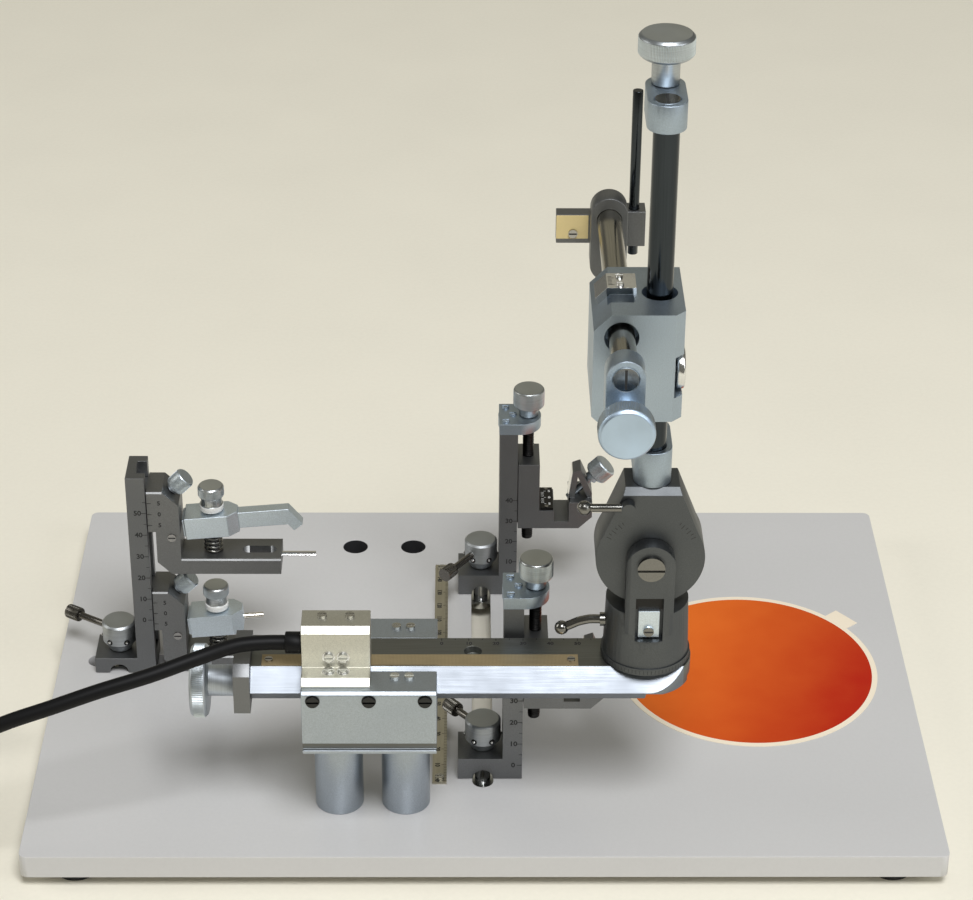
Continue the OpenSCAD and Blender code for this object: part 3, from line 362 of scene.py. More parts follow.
@dataclass(frozen=True)
class MetalFinish:
    """Machined metal with a grain, fine pits and faint smudges; counts are per metre."""

    name: str
    colour: Colour
    roughness: float
    grain: Grain = Grain.BLASTED
    axis: Axis = Axis.Z
    depth: float = 0.12
    bands: tuple[Band, ...] = ()
    beyond: tuple[Beyond, ...] = ()
    along: float = 60.0
    across: float = 2600.0
    smudges: float = 45.0
    flecks: tuple[float, float] = (0.84, 1.12)
    band_fleck: float = 0.9
    smudge_share: float = 0.35
    smudge_shine: tuple[float, float] = (-0.05, 0.07)
    grain_shine: tuple[float, float] = (-0.04, 0.04)

    def build(self) -> Material:
        """Makes the material.

        Returns:
            The material.
        """
        bench = ShaderBench(self.name)
        scale = [self.along if self.grain is Grain.TURNED else self.across] * 3
        if self.grain is not Grain.BLASTED:
            scale[self.axis.value] = self.across + self.along - scale[self.axis.value]
        grain = bench.noise(scale, 5.0)
        smudge = bench.noise((self.smudges,) * 3, 3.0)
        fleck = bench.spread(grain, 0.0, 1.0)
        colour = bench.mix(fleck, *(shade(self.colour, factor) for factor in self.flecks))
        colour = bench.mix(bench.spread(smudge, 0.0, self.smudge_share), colour, self.colour)
        smudge_shine = bench.spread(smudge, *self.smudge_shine)
        shine = bench.math("ADD", smudge_shine, bench.spread(grain, *self.grain_shine))
        rough = bench.math("ADD", shine, self.roughness)
        metallic: Any = 1.0
        for band in self.bands:
            mask = bench.between(bench.part(band.axis), band.low, band.high)
            own = bench.mix(fleck, shade(band.colour, self.band_fleck), band.colour)
            colour = bench.mix(mask, colour, own)
            rough = bench.blend(mask, rough, bench.math("ADD", shine, band.roughness))
            if band.metallic < 1.0:
                metallic = bench.blend(mask, metallic, band.metallic)
        for rest in self.beyond:
            mask = bench.math("GREATER_THAN", bench.away(rest.middle), rest.radius)
            colour = bench.mix(mask, colour, rest.colour)
            rough = bench.blend(mask, rough, bench.math("ADD", shine, rest.roughness))
        return bench.done(grain, self.depth, Base_Color=colour, Roughness=rough, Metallic=metallic)


@dataclass(frozen=True)
class CoatFinish:
    """Paint, rubber or plastic: a coloured skin with a fine texture; counts are per metre."""

    name: str
    colour: Colour
    roughness: float
    texture: float = 900.0
    depth: float = 0.1
    gloss_coat: float = 0.0
    specular: float = 0.5
    clouds: float = 14.0
    cloud_shade: float = 0.93
    cloud_shine: tuple[float, float] = (-0.03, 0.04)
    skin_shade: float = 1.06
    skin_share: float = 0.25
    coat_roughness: float = 0.12

    def build(self) -> Material:
        """Makes the material.

        Returns:
            The material.
        """
        bench = ShaderBench(self.name)
        skin = bench.noise((self.texture,) * 3)
        cloud = bench.noise((self.clouds,) * 3)
        dull = shade(self.colour, self.cloud_shade)
        colour = bench.mix(bench.spread(cloud, 0.0, 1.0, 0.0, 1.0), dull, self.colour)
        raised = bench.spread(skin, 0.0, self.skin_share)
        shine = bench.spread(cloud, *self.cloud_shine, 0.0, 1.0)
        return bench.done(
            skin,
            self.depth,
            Base_Color=bench.mix(raised, colour, shade(self.colour, self.skin_shade)),
            Roughness=bench.math("ADD", shine, self.roughness),
            Specular_IOR_Level=self.specular,
            Coat_Weight=self.gloss_coat,
            Coat_Roughness=self.coat_roughness,
        )


@dataclass(frozen=True)
class StickerFinish:
    """A round sticker that runs from orange to red, with a cream rim and tab, in metres and per metre."""

    name: str
    middle: tuple[float, float]
    radius: float
    rim: float = 0.0022
    lean: float = 0.45
    left: Colour = (0.80, 0.17, 0.016)
    right: Colour = (0.44, 0.015, 0.003)
    cream: Colour = (0.86, 0.76, 0.60)
    clouds: float = 60.0
    uneven: float = 0.05
    texture: float = 220.0
    depth: float = 0.08
    roughness: tuple[float, float] = (0.40, 0.54)
    specular: float = 0.18

    def build(self) -> Material:
        """Makes the material.

        Returns:
            The material.
        """
        bench = ShaderBench(self.name)
        aside = bench.part(Axis.X, self.middle[0])
        behind = bench.math("MULTIPLY", bench.part(Axis.Y, self.middle[1]), self.lean)
        run = bench.spread(bench.math("SUBTRACT", aside, behind), 0.0, 1.0, -self.radius, self.radius)
        cloud = bench.noise((self.clouds,) * 3, 5.0)
        print_run = bench.math("ADD", run, bench.spread(cloud, -self.uneven, self.uneven))
        rim = bench.math("GREATER_THAN", bench.away(self.middle), self.radius - self.rim)
        return bench.done(
            bench.noise((self.texture,) * 3, 2.0),
            self.depth,
            Base_Color=bench.mix(rim, bench.mix(print_run, self.left, self.right), self.cream),
            Roughness=bench.spread(cloud, *self.roughness),
            Specular_IOR_Level=self.specular,
        )


@dataclass(frozen=True)
class TapeFinish:
    """A tan encoder tape with fine dark lines across it; counts are per metre."""

    name: str
    tan: Colour = (0.42, 0.33, 0.19)
    line: Colour = (0.30, 0.235, 0.135)
    line_share: float = 0.3
    lines: float = 2000.0
    clouds: tuple[float, float, float] = (120.0, 400.0, 120.0)
    cloud_shade: float = 0.85
    depth: float = 0.05
    roughness: tuple[float, float] = (0.3, 0.42)
    metallic: float = 0.6

    def build(self) -> Material:
        """Makes the material.

        Returns:
            The material.
        """
        bench = ShaderBench(self.name)
        phase = bench.math("FRACT", bench.math("MULTIPLY", bench.part(Axis.X), self.lines))
        cloud = bench.noise(self.clouds)
        tan = bench.mix(bench.spread(cloud, 0.0, 1.0), shade(self.tan, self.cloud_shade), self.tan)
        return bench.done(
            cloud,
            self.depth,
            Base_Color=bench.mix(bench.math("LESS_THAN", phase, self.line_share), tan, self.line),
            Roughness=bench.spread(cloud, *self.roughness),
            Metallic=self.metallic,
        )


class Finishes:
    """Every finish that is the same all over, made once for all its pieces."""

    def __init__(self) -> None:
        """Makes the materials."""
        self.light = MetalFinish("blasted_aluminium", ALUMINIUM, 0.42).build()
        self.turned = MetalFinish("turned_aluminium", (0.58, 0.64, 0.68), 0.38, Grain.TURNED).build()
        self.dark = MetalFinish("grey_anodised", (0.205, 0.210, 0.214), 0.48).build()
        self.tower = MetalFinish("tower_anodised", TOWER_GREY, 0.46).build()
        self.pale = MetalFinish("pale_aluminium", PALE, 0.42).build()
        self.blue = MetalFinish("blue_grey_aluminium", (0.40, 0.47, 0.54), 0.42).build()
        self.head = MetalFinish("screw_steel", (0.40, 0.39, 0.37), 0.2, depth=0.04).build()
        self.steel = MetalFinish("rule_steel", (0.50, 0.47, 0.38), 0.34, Grain.DRAWN, Axis.Y).build()
        self.bright = MetalFinish("polished_steel", (0.74, 0.74, 0.73), 0.14, depth=0.02).build()
        self.lever = MetalFinish("dark_chrome", CHROME, 0.2, depth=0.03).build()
        self.shaft = MetalFinish("ground_rod", (0.045, 0.052, 0.058), 0.13, Grain.DRAWN, Axis.Z, 0.03).build()
        self.arm = MetalFinish("ground_arm", (0.33, 0.315, 0.27), 0.18, Grain.DRAWN, Axis.Y, 0.03).build()
        self.black = CoatFinish("black_cable", CABLE_BLACK, 0.5, 1500.0, 0.08, specular=0.18).build()
        self.oxide = MetalFinish("black_oxide", OXIDE, OXIDE_ROUGHNESS, depth=0.1).build()
        self.rubber = CoatFinish("foot_rubber", (0.02, 0.02, 0.022), 0.75, 1800.0, 0.3).build()
        self.paint = CoatFinish("plate_paint", (0.58, 0.575, 0.57), 0.32, 700.0, 0.06, 0.2).build()
        self.ink = CoatFinish("engraved_ink", (0.02, 0.02, 0.02), 0.6, 2500.0, 0.05).build()
        self.white = CoatFinish("white_fill", (0.78, 0.78, 0.75), 0.5, 2500.0, 0.05).build()
        self.brass = MetalFinish("brass", (0.62, 0.43, 0.16), 0.3).build()
        self.cream = CoatFinish("cream_plate", (0.80, 0.64, 0.30), 0.28, 900.0, 0.05, 0.4).build()


# Shapes from Geometry Nodes


class ShapeTree(NodeBench):
    """A Geometry Nodes tree with named inputs that ends in Realize Instances and Set Material."""

    def __init__(self, name: str, **inputs: str) -> None:
        """Starts a tree.

        Args:
            name: The tree's name.
            inputs: The kind of each named input, such as Float, Int, Vector or Material.
        """
        super().__init__(bpy.data.node_groups.new(name, "GeometryNodeTree"), "GeometryNode")
        face = self.tree.interface
        for key, kind in {"Points": "Geometry", **inputs}.items():
            face.new_socket(key, in_out="INPUT", socket_type="NodeSocket" + kind)
        face.new_socket("Shape", in_out="OUTPUT", socket_type="NodeSocketGeometry")
        self.given = self.tree.nodes.new("NodeGroupInput").outputs
        self.sink = self.tree.nodes.new("NodeGroupOutput").inputs

    def paint(self, geometry: NodeSocket, material: str = "Material") -> NodeSocket:
        """Sets a geometry's material from a named input."""
        return self.add("SetMaterial", {"Geometry": geometry, "Material": self.given[material]})

    def both(self, first: NodeSocket, second: NodeSocket) -> NodeSocket:
        """Joins two geometries.

        Args:
            first: The one.
            second: The other.

        Returns:
            Both in one.
        """
        node = self.tree.nodes.new("GeometryNodeJoinGeometry")
        for part in (first, second):
            self.tree.links.new(part, node.inputs[0])
        return node.outputs[0]

    def ring(self, shape: NodeSocket) -> NodeSocket:
        """Sets a shape round Z, with its X outwards.

        Args:
            shape: The shape that the tree's Count and Radius repeat.

        Returns:
            The ring of instances.
        """
        given = self.given
        circle = self.add("MeshCircle", {"Vertices": given["Count"], "Radius": given["Radius"]})
        out = {"Vector": self.add("InputPosition", {})}
        facing = self.add("FunctionNodeAlignRotationToVector", out, axis="X")
        return self.add("InstanceOnPoints", {"Points": circle, "Instance": shape, "Rotation": facing})

    def close(self, geometry: NodeSocket, whole: bool = True) -> ShapeTree:
        """Realizes the instances, sets the material and hands the shape out.

        Args:
            geometry: The shape so far.
            whole: False where its parts already have their own materials.

        Returns:
            The tree itself.
        """
        real = self.add("RealizeInstances", {"Geometry": geometry})
        self.tree.links.new(self.paint(real) if whole else real, self.sink[0])
        return self

    def shape(self, name: str, points: Sequence[Vector] = (), **values: Any) -> Mesh:
        """Runs the tree and keeps what it makes as a plain mesh.

        Args:
            name: The mesh's name.
            points: Places that the tree instances on, where it uses them.
            values: The tree's inputs by name.

        Returns:
            The mesh, in its own frame.
        """
        seed = bpy.data.meshes.new(name + "_points")
        seed.from_pydata([tuple(p) for p in points], [], [])
        host = linked(name + "_host", seed)
        modifier = host.modifiers.new("shape", "NODES")
        modifier.node_group = self.tree
        for item in self.tree.interface.items_tree:
            if item.in_out == "INPUT" and item.name in values:
                modifier[item.identifier] = values[item.name]
        mesh = evaluated(host)
        mesh.name = name
        host.modifiers.clear()
        bpy.data.objects.remove(host)
        bpy.data.meshes.remove(seed)
        return mesh


class ShapeTrees:
    """The trees for what repeats: ticks, knurls, threads, springs, screws, and the painted shade and glints of
    capstan holes.
    """

    def __init__(self) -> None:
        """Builds every tree once."""
        self.ticks = self._ticks()
        self.knurl = self._knurl()
        self.winding = self._winding()
        self.screws = self._screws()
        self.holes = self._holes()

    @staticmethod
    def _ticks() -> ShapeTree:
        """Builds a row of thin bars along X.

        Returns:
            The tree.
        """
        tree = ShapeTree("tick_row", Count="Int", Step="Vector", Bar="Vector", Material="Material")
        given = tree.given
        line = tree.add("MeshLine", {"Count": given["Count"], "Offset": given["Step"]}, mode="OFFSET")
        bar = tree.add("MeshCube", {"Size": given["Bar"]})
        return tree.close(tree.add("InstanceOnPoints", {"Points": line, "Instance": bar}))

    @staticmethod
    def _knurl() -> ShapeTree:
        """Builds a ring of upright ridges around Z, each with an edge outwards.

        Returns:
            The tree.
        """
        tree = ShapeTree("knurl_ring", Count="Int", Radius="Float", Ridge="Vector", Material="Material")
        ridge = tree.add("MeshCube", {"Size": tree.given["Ridge"]})
        edge_out = (0.0, 0.0, math.pi / 4)
        return tree.close(tree.ring(tree.add("Transform", {"Geometry": ridge, "Rotation": edge_out})))

    @staticmethod
    def _winding() -> ShapeTree:
        """Builds a wire wound round Z, for a thread or a spring.

        Returns:
            The tree.
        """
        sizes = dict.fromkeys(("Turns", "Radius", "Height", "Wire"), "Float")
        tree = ShapeTree("winding", **sizes, Steps="Int", Sides="Int", Material="Material")
        given = tree.given
        turns = {"Resolution": given["Steps"], "Rotations": given["Turns"], "Height": given["Height"]}
        radii = dict.fromkeys(("Start Radius", "End Radius"), given["Radius"])
        path = tree.add("CurveSpiral", {**turns, **radii})
        section = tree.add("CurvePrimitiveCircle", {"Resolution": given["Sides"], "Radius": given["Wire"]})
        swept = {"Curve": path, "Profile Curve": section, "Fill Caps": True}
        return tree.close(tree.add("CurveToMesh", swept))

    @staticmethod
    def _screws() -> ShapeTree:
        """Builds slotted screw heads on points, facing +Z.

        Returns:
            The tree.
        """
        sizes = {"Radius": "Float", "Height": "Float", "Slot": "Vector", "Lift": "Vector"}
        tree = ShapeTree("screw_heads", **sizes, Material="Material", SlotMaterial="Material")
        given = tree.given
        body = tree.add("MeshCylinder", {"Vertices": 20, "Radius": given["Radius"], "Depth": given["Height"]})
        slot = tree.add("MeshCube", {"Size": given["Slot"]})
        raised = tree.add("Transform", {"Geometry": slot, "Translation": given["Lift"]})
        head = tree.both(tree.paint(body), tree.paint(raised, "SlotMaterial"))
        heads = tree.add("InstanceOnPoints", {"Points": given["Points"], "Instance": head})
        return tree.close(heads, whole=False)

    @staticmethod
    def _holes() -> ShapeTree:
        """Builds capstan holes around Z: a dark disc of painted shade with a bright sphere in it for a painted
        glint.

        Returns:
            The tree.
        """
        sizes = dict.fromkeys(("Radius", "Hole", "Ball", "Deep"), "Float")
        tree = ShapeTree("capstan_holes", Count="Int", **sizes, Material="Material", BallMaterial="Material")
        given = tree.given
        disc = tree.add("MeshCylinder", {"Vertices": 24, "Radius": given["Hole"], "Depth": given["Deep"]})
        lying = tree.add("Transform", {"Geometry": disc, "Rotation": (0.0, math.pi / 2, 0.0)})
        ball = tree.add("MeshUVSphere", {"Segments": 16, "Rings": 8, "Radius": given["Ball"]})
        hole = tree.both(tree.paint(lying), tree.paint(ball, "BallMaterial"))
        return tree.close(tree.ring(hole), whole=False)


# The workshop that places pieces


@dataclass(frozen=True)
class Tag:
    """A new piece's name, its body, a slot name that is not used and, where its mesh has none, its finish."""

    name: str
    body: str
    slot: str
    finish: Material | None = None


def figures(text: str, size: float, place: Matrix) -> Mesh:
    """Makes thin figures as a mesh.

    Args:
        text: The figures.
        size: Their height in millimetres.
        place: The frame of their middle, with X along the line and Y up.

    Returns:
        The mesh in the row frame.
    """
    font_size, fatter, half_t = 1.35 * size, 0.045 * size, 0.015
    curve = bpy.data.curves.new("figures", "FONT")
    curve.body = text
    curve.size = font_size * MM
    curve.align_x = curve.align_y = "CENTER"
    curve.extrude = half_t * MM
    curve.offset = fatter * MM
    curve.resolution_u = 3
    host = linked("figures", curve)
    mesh = evaluated(host)
    bpy.data.objects.remove(host)
    bpy.data.curves.remove(curve)
    mesh.transform(place)
    return mesh


class Workshop:
    """Keeps the frame, the finishes and the trees, and places what the sub-assemblies make."""

    weld: float = 1e-6
    flat_angle: float = math.radians(0.4)
    edge_angle: float = math.radians(34)

    def __init__(self, frame: dict[str, Any]) -> None:
        """Takes over a frame and makes the finishes and trees.
        """
        self.nodes: dict[str, bpy.types.Object] = frame["nodes"]
        self.joints: dict[str, dict[str, Any]] = {row["name"]: row for row in frame["joints"]}
        self.finishes = Finishes()
        self.trees = ShapeTrees()

    def joint(self, name: str) -> tuple[Vector, Vector]:
        """Gives a hinge's place and axis."""
        row = self.joints[name]
        return Vector(row["pos_m"]), Vector(row["axis"])

    def dress(self, finish: Material, edge: Edge, *nodes: str) -> None:
        """Gives solids their finish and breaks their edges.

        Args:
            finish: The finish.
            edge: How far the edges are broken.
            nodes: The solids' names.
        """
        for node in nodes:
            solid = self.nodes[node]
            solid.data.materials.clear()
            solid.data.materials.append(finish)
            if edge is not Edge.RAW:
                solid.modifiers.new("merge", "WELD").merge_threshold = self.weld
                flat = solid.modifiers.new("flats", "DECIMATE")
                flat.decimate_type = "DISSOLVE"
                flat.angle_limit = self.flat_angle
                bevel = solid.modifiers.new("edges", "BEVEL")
                bevel.width = edge.value * MM
                bevel.segments = 2
                bevel.limit_method = "ANGLE"
                bevel.angle_limit = self.edge_angle
                bevel.harden_normals = True
            LOG.info("dressed %s", node)

    def piece(self, tag: Tag, mesh: Mesh) -> bpy.types.Object:
        """Places a finished mesh of the row frame on its body.

        Args:
            tag: The piece's tag.
            mesh: Its mesh.

        Returns:
            The piece.
        """
        if tag.finish is not None:
            mesh.materials.clear()
            mesh.materials.append(tag.finish)
        made = linked(tag.name, mesh)
        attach(made, tag.body)
        LOG.info("placed %s on %s", tag.name, tag.body)
        return made

    def knurl(
        self, tag: Tag, place: Matrix, radius: float, height: float, count: int, ridge: float = 0.35
    ) -> None:
        """Cuts a knurled band round a knob, of turned aluminium by default.

        Args:
            tag: The band's tag.
            place: The frame of its middle, with Z along the knob.
            radius: The knob's radius in millimetres.
            height: The band's height in millimetres.
            count: Ridges round the knob.
            ridge: Width of a ridge in millimetres.
        """
        sunk = 0.3 * ridge
        mesh = self.trees.knurl.shape(
            tag.name, Count=count, Radius=(radius - sunk) * MM, Ridge=(ridge * MM, ridge * MM, height * MM),
            Material=tag.finish or self.finishes.turned,
        )
        mesh.transform(place)
        self.piece(tag, mesh)

    def thread(self, tag: Tag, place: Matrix, length: float, radius: float) -> None:
        """Winds a black thread of 1 mm pitch along a drive screw.

        Args:
            tag: The thread's tag.
            place: The frame of its start, with Z along the screw.
            length: Its length in millimetres.
            radius: The screw's radius in millimetres.
        """
        sunk, wire = 0.12, 0.3
        mesh = self.trees.winding.shape(
            tag.name, Turns=float(round(length)), Radius=(radius - sunk) * MM, Height=length * MM,
            Wire=wire * MM, Steps=16, Sides=4, Material=self.finishes.oxide,
        )
        mesh.transform(place)
        self.piece(tag, mesh)

    def screws(
        self, name: str, body: str, place: Matrix, points: Sequence[tuple[float, float]], radius: float,
        height: float, head: Material | None = None, slot: Material | None = None, slot_w: float = 0.32,
    ) -> None:
        """Sets slotted screws on a face.

        Args:
            name: The piece's name.
            body: The body that carries them.
            place: The face's frame, with Z outwards.
            points: The screws' places on the face in millimetres.
            radius: The heads' radius in millimetres.
            height: The heads' height in millimetres.
            head: The heads' finish, screw steel by default.
            slot: The slots' finish, ink by default, as painted shade in the slots.
            slot_w: A slot's width as a share of the radius.
        """
        slot_l, slot_t = 1.7 * radius, 0.1
        # By default each slot is a raised bar of ink: painted shade of the slot.
        mesh = self.trees.screws.shape(
            name, [Vector((x, y, 0.5 * height)) * MM for x, y in points], Radius=radius * MM,
            Height=height * MM, Slot=(slot_l * MM, slot_w * radius * MM, slot_t * MM),
            Lift=(0.0, 0.0, 0.5 * height * MM), Material=head or self.finishes.head,
            SlotMaterial=slot or self.finishes.ink,
        )
        mesh.transform(place)
        self.piece(Tag(name, body, "steel"), mesh)

    def slab(self, tag: Tag, low: Vector, high: Vector, edge: float = 0.1) -> None:
        """Makes a thin plate between two corners.

        Args:
            tag: The plate's tag.
            low: Its lowest corner.
            high: Its highest corner.
            edge: How far its edges are broken, in millimetres.
        """
        shape = bmesh.new()
        bmesh.ops.create_cube(shape, size=1.0)
        for vertex in shape.verts:
            vertex.co = Vector(low[i] + (vertex.co[i] + 0.5) * (high[i] - low[i]) for i in range(3))
        bmesh.ops.bevel(shape, geom=shape.edges[:], offset=edge * MM, segments=2, affect="EDGES")
        self.piece(tag, mesh_of(tag.name, shape))

    def loft(self, tag: Tag, rings: Sequence[Sequence[Vector]], capped: bool) -> None:
        """Skins closed rings of points.

        Args:
            tag: The piece's tag.
            rings: The rings, all of one length.
            capped: True to close the two ends, False to join the last ring to the first.
        """
        shape = bmesh.new()
        loops = [[shape.verts.new(point) for point in ring] for ring in rings]
        if capped:
            shape.faces.new(loops[0])
            shape.faces.new(loops[-1])
        for a, b in zip(loops, loops[1:] if capped else loops[1:] + loops[:1]):
            for i in range(len(a)):
                k = (i + 1) % len(a)
                shape.faces.new((a[i], a[k], b[k], b[i]))
        bmesh.ops.recalc_face_normals(shape, faces=shape.faces[:])
        self.piece(tag, mesh_of(tag.name, shape))


@dataclass(frozen=True)
class Scale:
    """A row of graduations with figures on a flat face, sizes in millimetres."""

    tag: Tag
    zero: Vector
    along: Vector
    across: Vector
    reading: Vector
    up: Vector
    length: int
    step: int = 5
    short: float = 1.2
    long: float = 2.0
    line: float = 0.22
    size: float = 2.2
    figures_at: float = 3.4
    figure_step: int = 10
    labels: tuple[str, ...] = ()
    lift: float = 0.02

    def build(self, shop: Workshop) -> None:
        """Makes the ticks and the figures as one piece.

        Args:
            shop: The workshop.
        """
        face = self.reading.cross(self.up)
        zero = self.zero + self.lift * MM * face
        meshes = []
        for step, reach in ((self.step, self.short), (self.figure_step, self.long)):
            row = shop.trees.ticks.shape(
                self.tag.name, Count=self.length // step + 1, Step=(step * MM, 0.0, 0.0),
                Bar=(self.line * MM, reach * MM, 2 * self.lift * MM), Material=self.tag.finish,
            )
            row.transform(basis(zero + 0.5 * reach * MM * self.across, self.along, self.across))
            meshes.append(row)
        marks = range(0, self.length + 1, self.figure_step)
        for mark, text in zip(marks, self.labels or [str(mark) for mark in marks]):
            if self.size > 0:
                spot = zero + mark * MM * self.along + self.figures_at * MM * self.across
                meshes.append(figures(text, self.size, basis(spot, self.reading, self.up)))
        shop.piece(self.tag, merged(self.tag.name, meshes))


@dataclass(frozen=True)
class DriveScrew:
    """A black drive screw with a knurled knob, sizes in millimetres."""

    node: str
    body: str
    thread: str
    colour: Colour
    roughness: float
    axis: Axis
    on_top: bool
    radius: float
    thick: float
    neck: float
    ridges: int
    screw_radius: float = 2.5
    rim: float = 2.4

    def build(self, shop: Workshop, start: float, end: float) -> None:
        """Dresses the screw.

        Args:
            shop: The workshop.
            start: Where its thread starts along the axis, in metres.
            end: Where its thread ends.
        """
        i = self.axis.value
        way = (RIGHT, BACK, UP)[i]
        tip, inwards = (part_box(self.node)[1][i], -MM) if self.on_top else (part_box(self.node)[0][i], MM)
        base = tip + inwards * (self.thick + self.neck)
        span = (-FAR, base) if self.on_top else (base, FAR)
        band = Band(self.axis, *span, OXIDE, OXIDE_ROUGHNESS)
        looks = (self.colour, self.roughness, Grain.TURNED, self.axis)
        finish = MetalFinish(f"{self.body}_finish", *looks, bands=(band,))
        shop.dress(finish.build(), Edge.FINE, self.node)
        spot = shop.joint(f"{self.body}_turn")[0]
        spot[i] = tip + 0.5 * inwards * self.thick
        tag = Tag(f"{self.body}_knurl", self.body, "light_aluminium")
        shop.knurl(tag, upright(spot, way), self.radius, self.thick - self.rim, self.ridges)
        spot[i] = start
        tag = Tag(self.thread, self.body, "light_aluminium")
        shop.thread(tag, upright(spot, way), (end - start) / MM, self.screw_radius)


# Sub-assemblies


@dataclass
class SubAssembly:
    """A group of pieces that the workshop dresses, sizes in millimetres."""

    shop: Workshop

    def __post_init__(self) -> None:
        """Takes the finishes at hand."""
        self.finishes = self.shop.finishes


@dataclass
class BasePlate(SubAssembly):
    """The painted plate with its feet, steel rule, sticker and two spare holes."""

    sticker_radius: float = 52.5
    sticker_in: float = 64.5
    rule_end: float = 1.3
    hole_x: tuple[float, ...] = (-54.5, -29.5)
    hole_y: float = 92.0
    hole_radius: float = 5.27
    sleeve_t: float = 0.2
    sleeve_up: float = 0.3
    sleeve_sides: int = 48

    def build(self) -> None:
        """Dresses the plate, draws the rule's scale and puts painted shade into the spare holes."""
        shop, finishes = self.shop, self.finishes
        shop.dress(finishes.paint, Edge.ROUND, "base_plate")
        shop.dress(finishes.rubber, Edge.SOFT, "rubber_feet")
        shop.dress(finishes.steel, Edge.RAW, "rule")
        low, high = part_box("base_plate")
        middle = (high.x - self.sticker_in * MM, BENCH_Y * MM)
        sticker = StickerFinish("round_sticker", middle, self.sticker_radius * MM)
        shop.dress(sticker.build(), Edge.RAW, "sticker")
        self._rule()
        # Each spare hole gets a dark sleeve: painted shade inside the hole.
        for i, x in enumerate(self.hole_x):
            self._sleeve(f"spare_hole_{i}", at(x, self.hole_y, 0.0), low.z, high.z)

    def _rule(self) -> None:
        """Draws the rule's millimetre scale, in whole centimetres."""
        low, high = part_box("rule")
        length = int((high.y - low.y) / MM - 2 * self.rule_end) // 10 * 10
        zero = Vector((high.x, low.y + self.rule_end * MM, high.z))
        Scale(
            Tag("rule_scale", "base", "steel", self.finishes.ink), zero, BACK, -RIGHT, -BACK, RIGHT, length,
            step=1, short=1.1, line=0.16, size=1.9, figures_at=3.6,
        ).build(self.shop)

    def _sleeve(self, name: str, spot: Vector, low: float, high: float) -> None:
        """Lines a spare hole with a thin dark sleeve of painted shade.

        Args:
            name: The sleeve's name.
            spot: A point on the hole's axis.
            low: The plate's underside.
            high: The plate's top.
        """
        bottom, top = low + self.sleeve_up * MM, high - self.sleeve_t * MM
        outer, inner = self.hole_radius, self.hole_radius - self.sleeve_t
        angles = [2 * math.pi * i / self.sleeve_sides for i in range(self.sleeve_sides)]
        ways = [Vector((math.cos(angle), math.sin(angle), 0.0)) for angle in angles]
        rings = [
            [Vector((spot.x, spot.y, z)) + radius * MM * way for way in ways]
            for radius, z in ((outer, bottom), (outer, top), (inner, top), (inner, bottom))
        ]
        self.shop.loft(Tag(name, "base", "black_plastic", self.finishes.rubber), rings, capped=False)


@dataclass
class DriveBracket(SubAssembly):
    """The fixed bracket on its two posts, with the read head, screws, nut and cable gland."""

    sink_radius: float = 2.65
    sink_down: float = 3.6
    sink_in: float = 4.2
    sink_t: float = 0.12
    sink_out: float = 0.05
    washer_x: tuple[float, ...] = (-56.6, -51.4)
    washer_radius: float = 2.35
    washer_t: float = 0.14
    washer_slot: float = 0.1
    face: tuple[float, float] = (-98.1, 88.5)
    ledge: tuple[float, float] = (-100.7, 84.0)
    groove: tuple[float, float] = (1.6, 4.8)
    black_screws: tuple[float, float] = (-5.0, 0.2)
    pale_screws: tuple[float, float] = (4.4, 9.0)

    def build(self) -> None:
        """Dresses the bracket and its screws."""
        shop, finishes = self.shop, self.finishes
        shop.dress(finishes.light, Edge.FINE, "bracket_posts")
        shop.dress(self._bracket_finish(), Edge.SOFT, "drive_bracket")
        read_head = MetalFinish("read_head_finish", (0.62, 0.61, 0.54), 0.42)
        shop.dress(read_head.build(), Edge.FINE, "read_head")
        shop.dress(self._screw_finish(), Edge.RAW, "base_screws")
        shop.dress(finishes.brass, Edge.FINE, "drive_nut")
        shop.dress(finishes.black, Edge.SOFT, "cable_gland")
        self._counterbores()
        bright, points = finishes.bright, [(x, 0.0) for x in self.washer_x]
        for name, spot, up in (("face_washers", self.face, UP), ("ledge_washers", self.ledge, BACK)):
            place = basis(at(0.0, *spot), RIGHT, up)
            washer = (self.washer_radius, self.washer_t, bright, bright, self.washer_slot)
            shop.screws(name, "base", place, points, *washer)

    def _bracket_finish(self) -> Material:
        """Makes the bracket's finish, with painted shade in the groove over its sole.

        Returns:
            The material.
        """
        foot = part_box("drive_bracket")[0].z
        # The groove over the sole is painted dark: painted shade under the bracket's overhang.
        groove = Band(Axis.Z, *(foot + z * MM for z in self.groove), (0.20, 0.20, 0.185), 0.5)
        return MetalFinish("bracket_finish", ALUMINIUM, 0.42, bands=(groove,)).build()

    def _screw_finish(self) -> Material:
        """Makes the screws' finish: dull steel, black on the bracket's front and pale on the read head.

        Returns:
            The material.
        """
        front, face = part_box("drive_bracket")[0].y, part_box("read_head")[0].y
        black = Band(Axis.Y, *(front + y * MM for y in self.black_screws), (0.05, 0.05, 0.05), 0.2)
        pale = Band(Axis.Y, *(face + y * MM for y in self.pale_screws), (0.70, 0.70, 0.65), 0.38)
        return MetalFinish("bracket_screw_steel", (0.45, 0.44, 0.40), 0.26, bands=(black, pale)).build()

    def _counterbores(self) -> None:
        """Rings the three front screws with thin black discs: painted shade of their counterbores."""
        low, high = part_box("drive_bracket")
        middle, half = 0.5 * (low.x + high.x), 0.5 * (high.x - low.x) - self.sink_in * MM
        radius = self.sink_radius * MM
        # Flat ink discs on the front face stand for the dark counterbores: painted shade.
        shape = bmesh.new()
        for side in (-1, 0, 1):
            spot = Vector((middle + side * half, low.y - self.sink_out * MM, high.z - self.sink_down * MM))
            bmesh.ops.create_cone(
                shape, cap_ends=True, segments=32, radius1=radius, radius2=radius, depth=self.sink_t * MM,
                matrix=upright(spot, -BACK),
            )
        tag = Tag("bracket_counterbore_shade", "base", "light_aluminium", self.finishes.ink)
        self.shop.piece(tag, mesh_of(tag.name, shape))


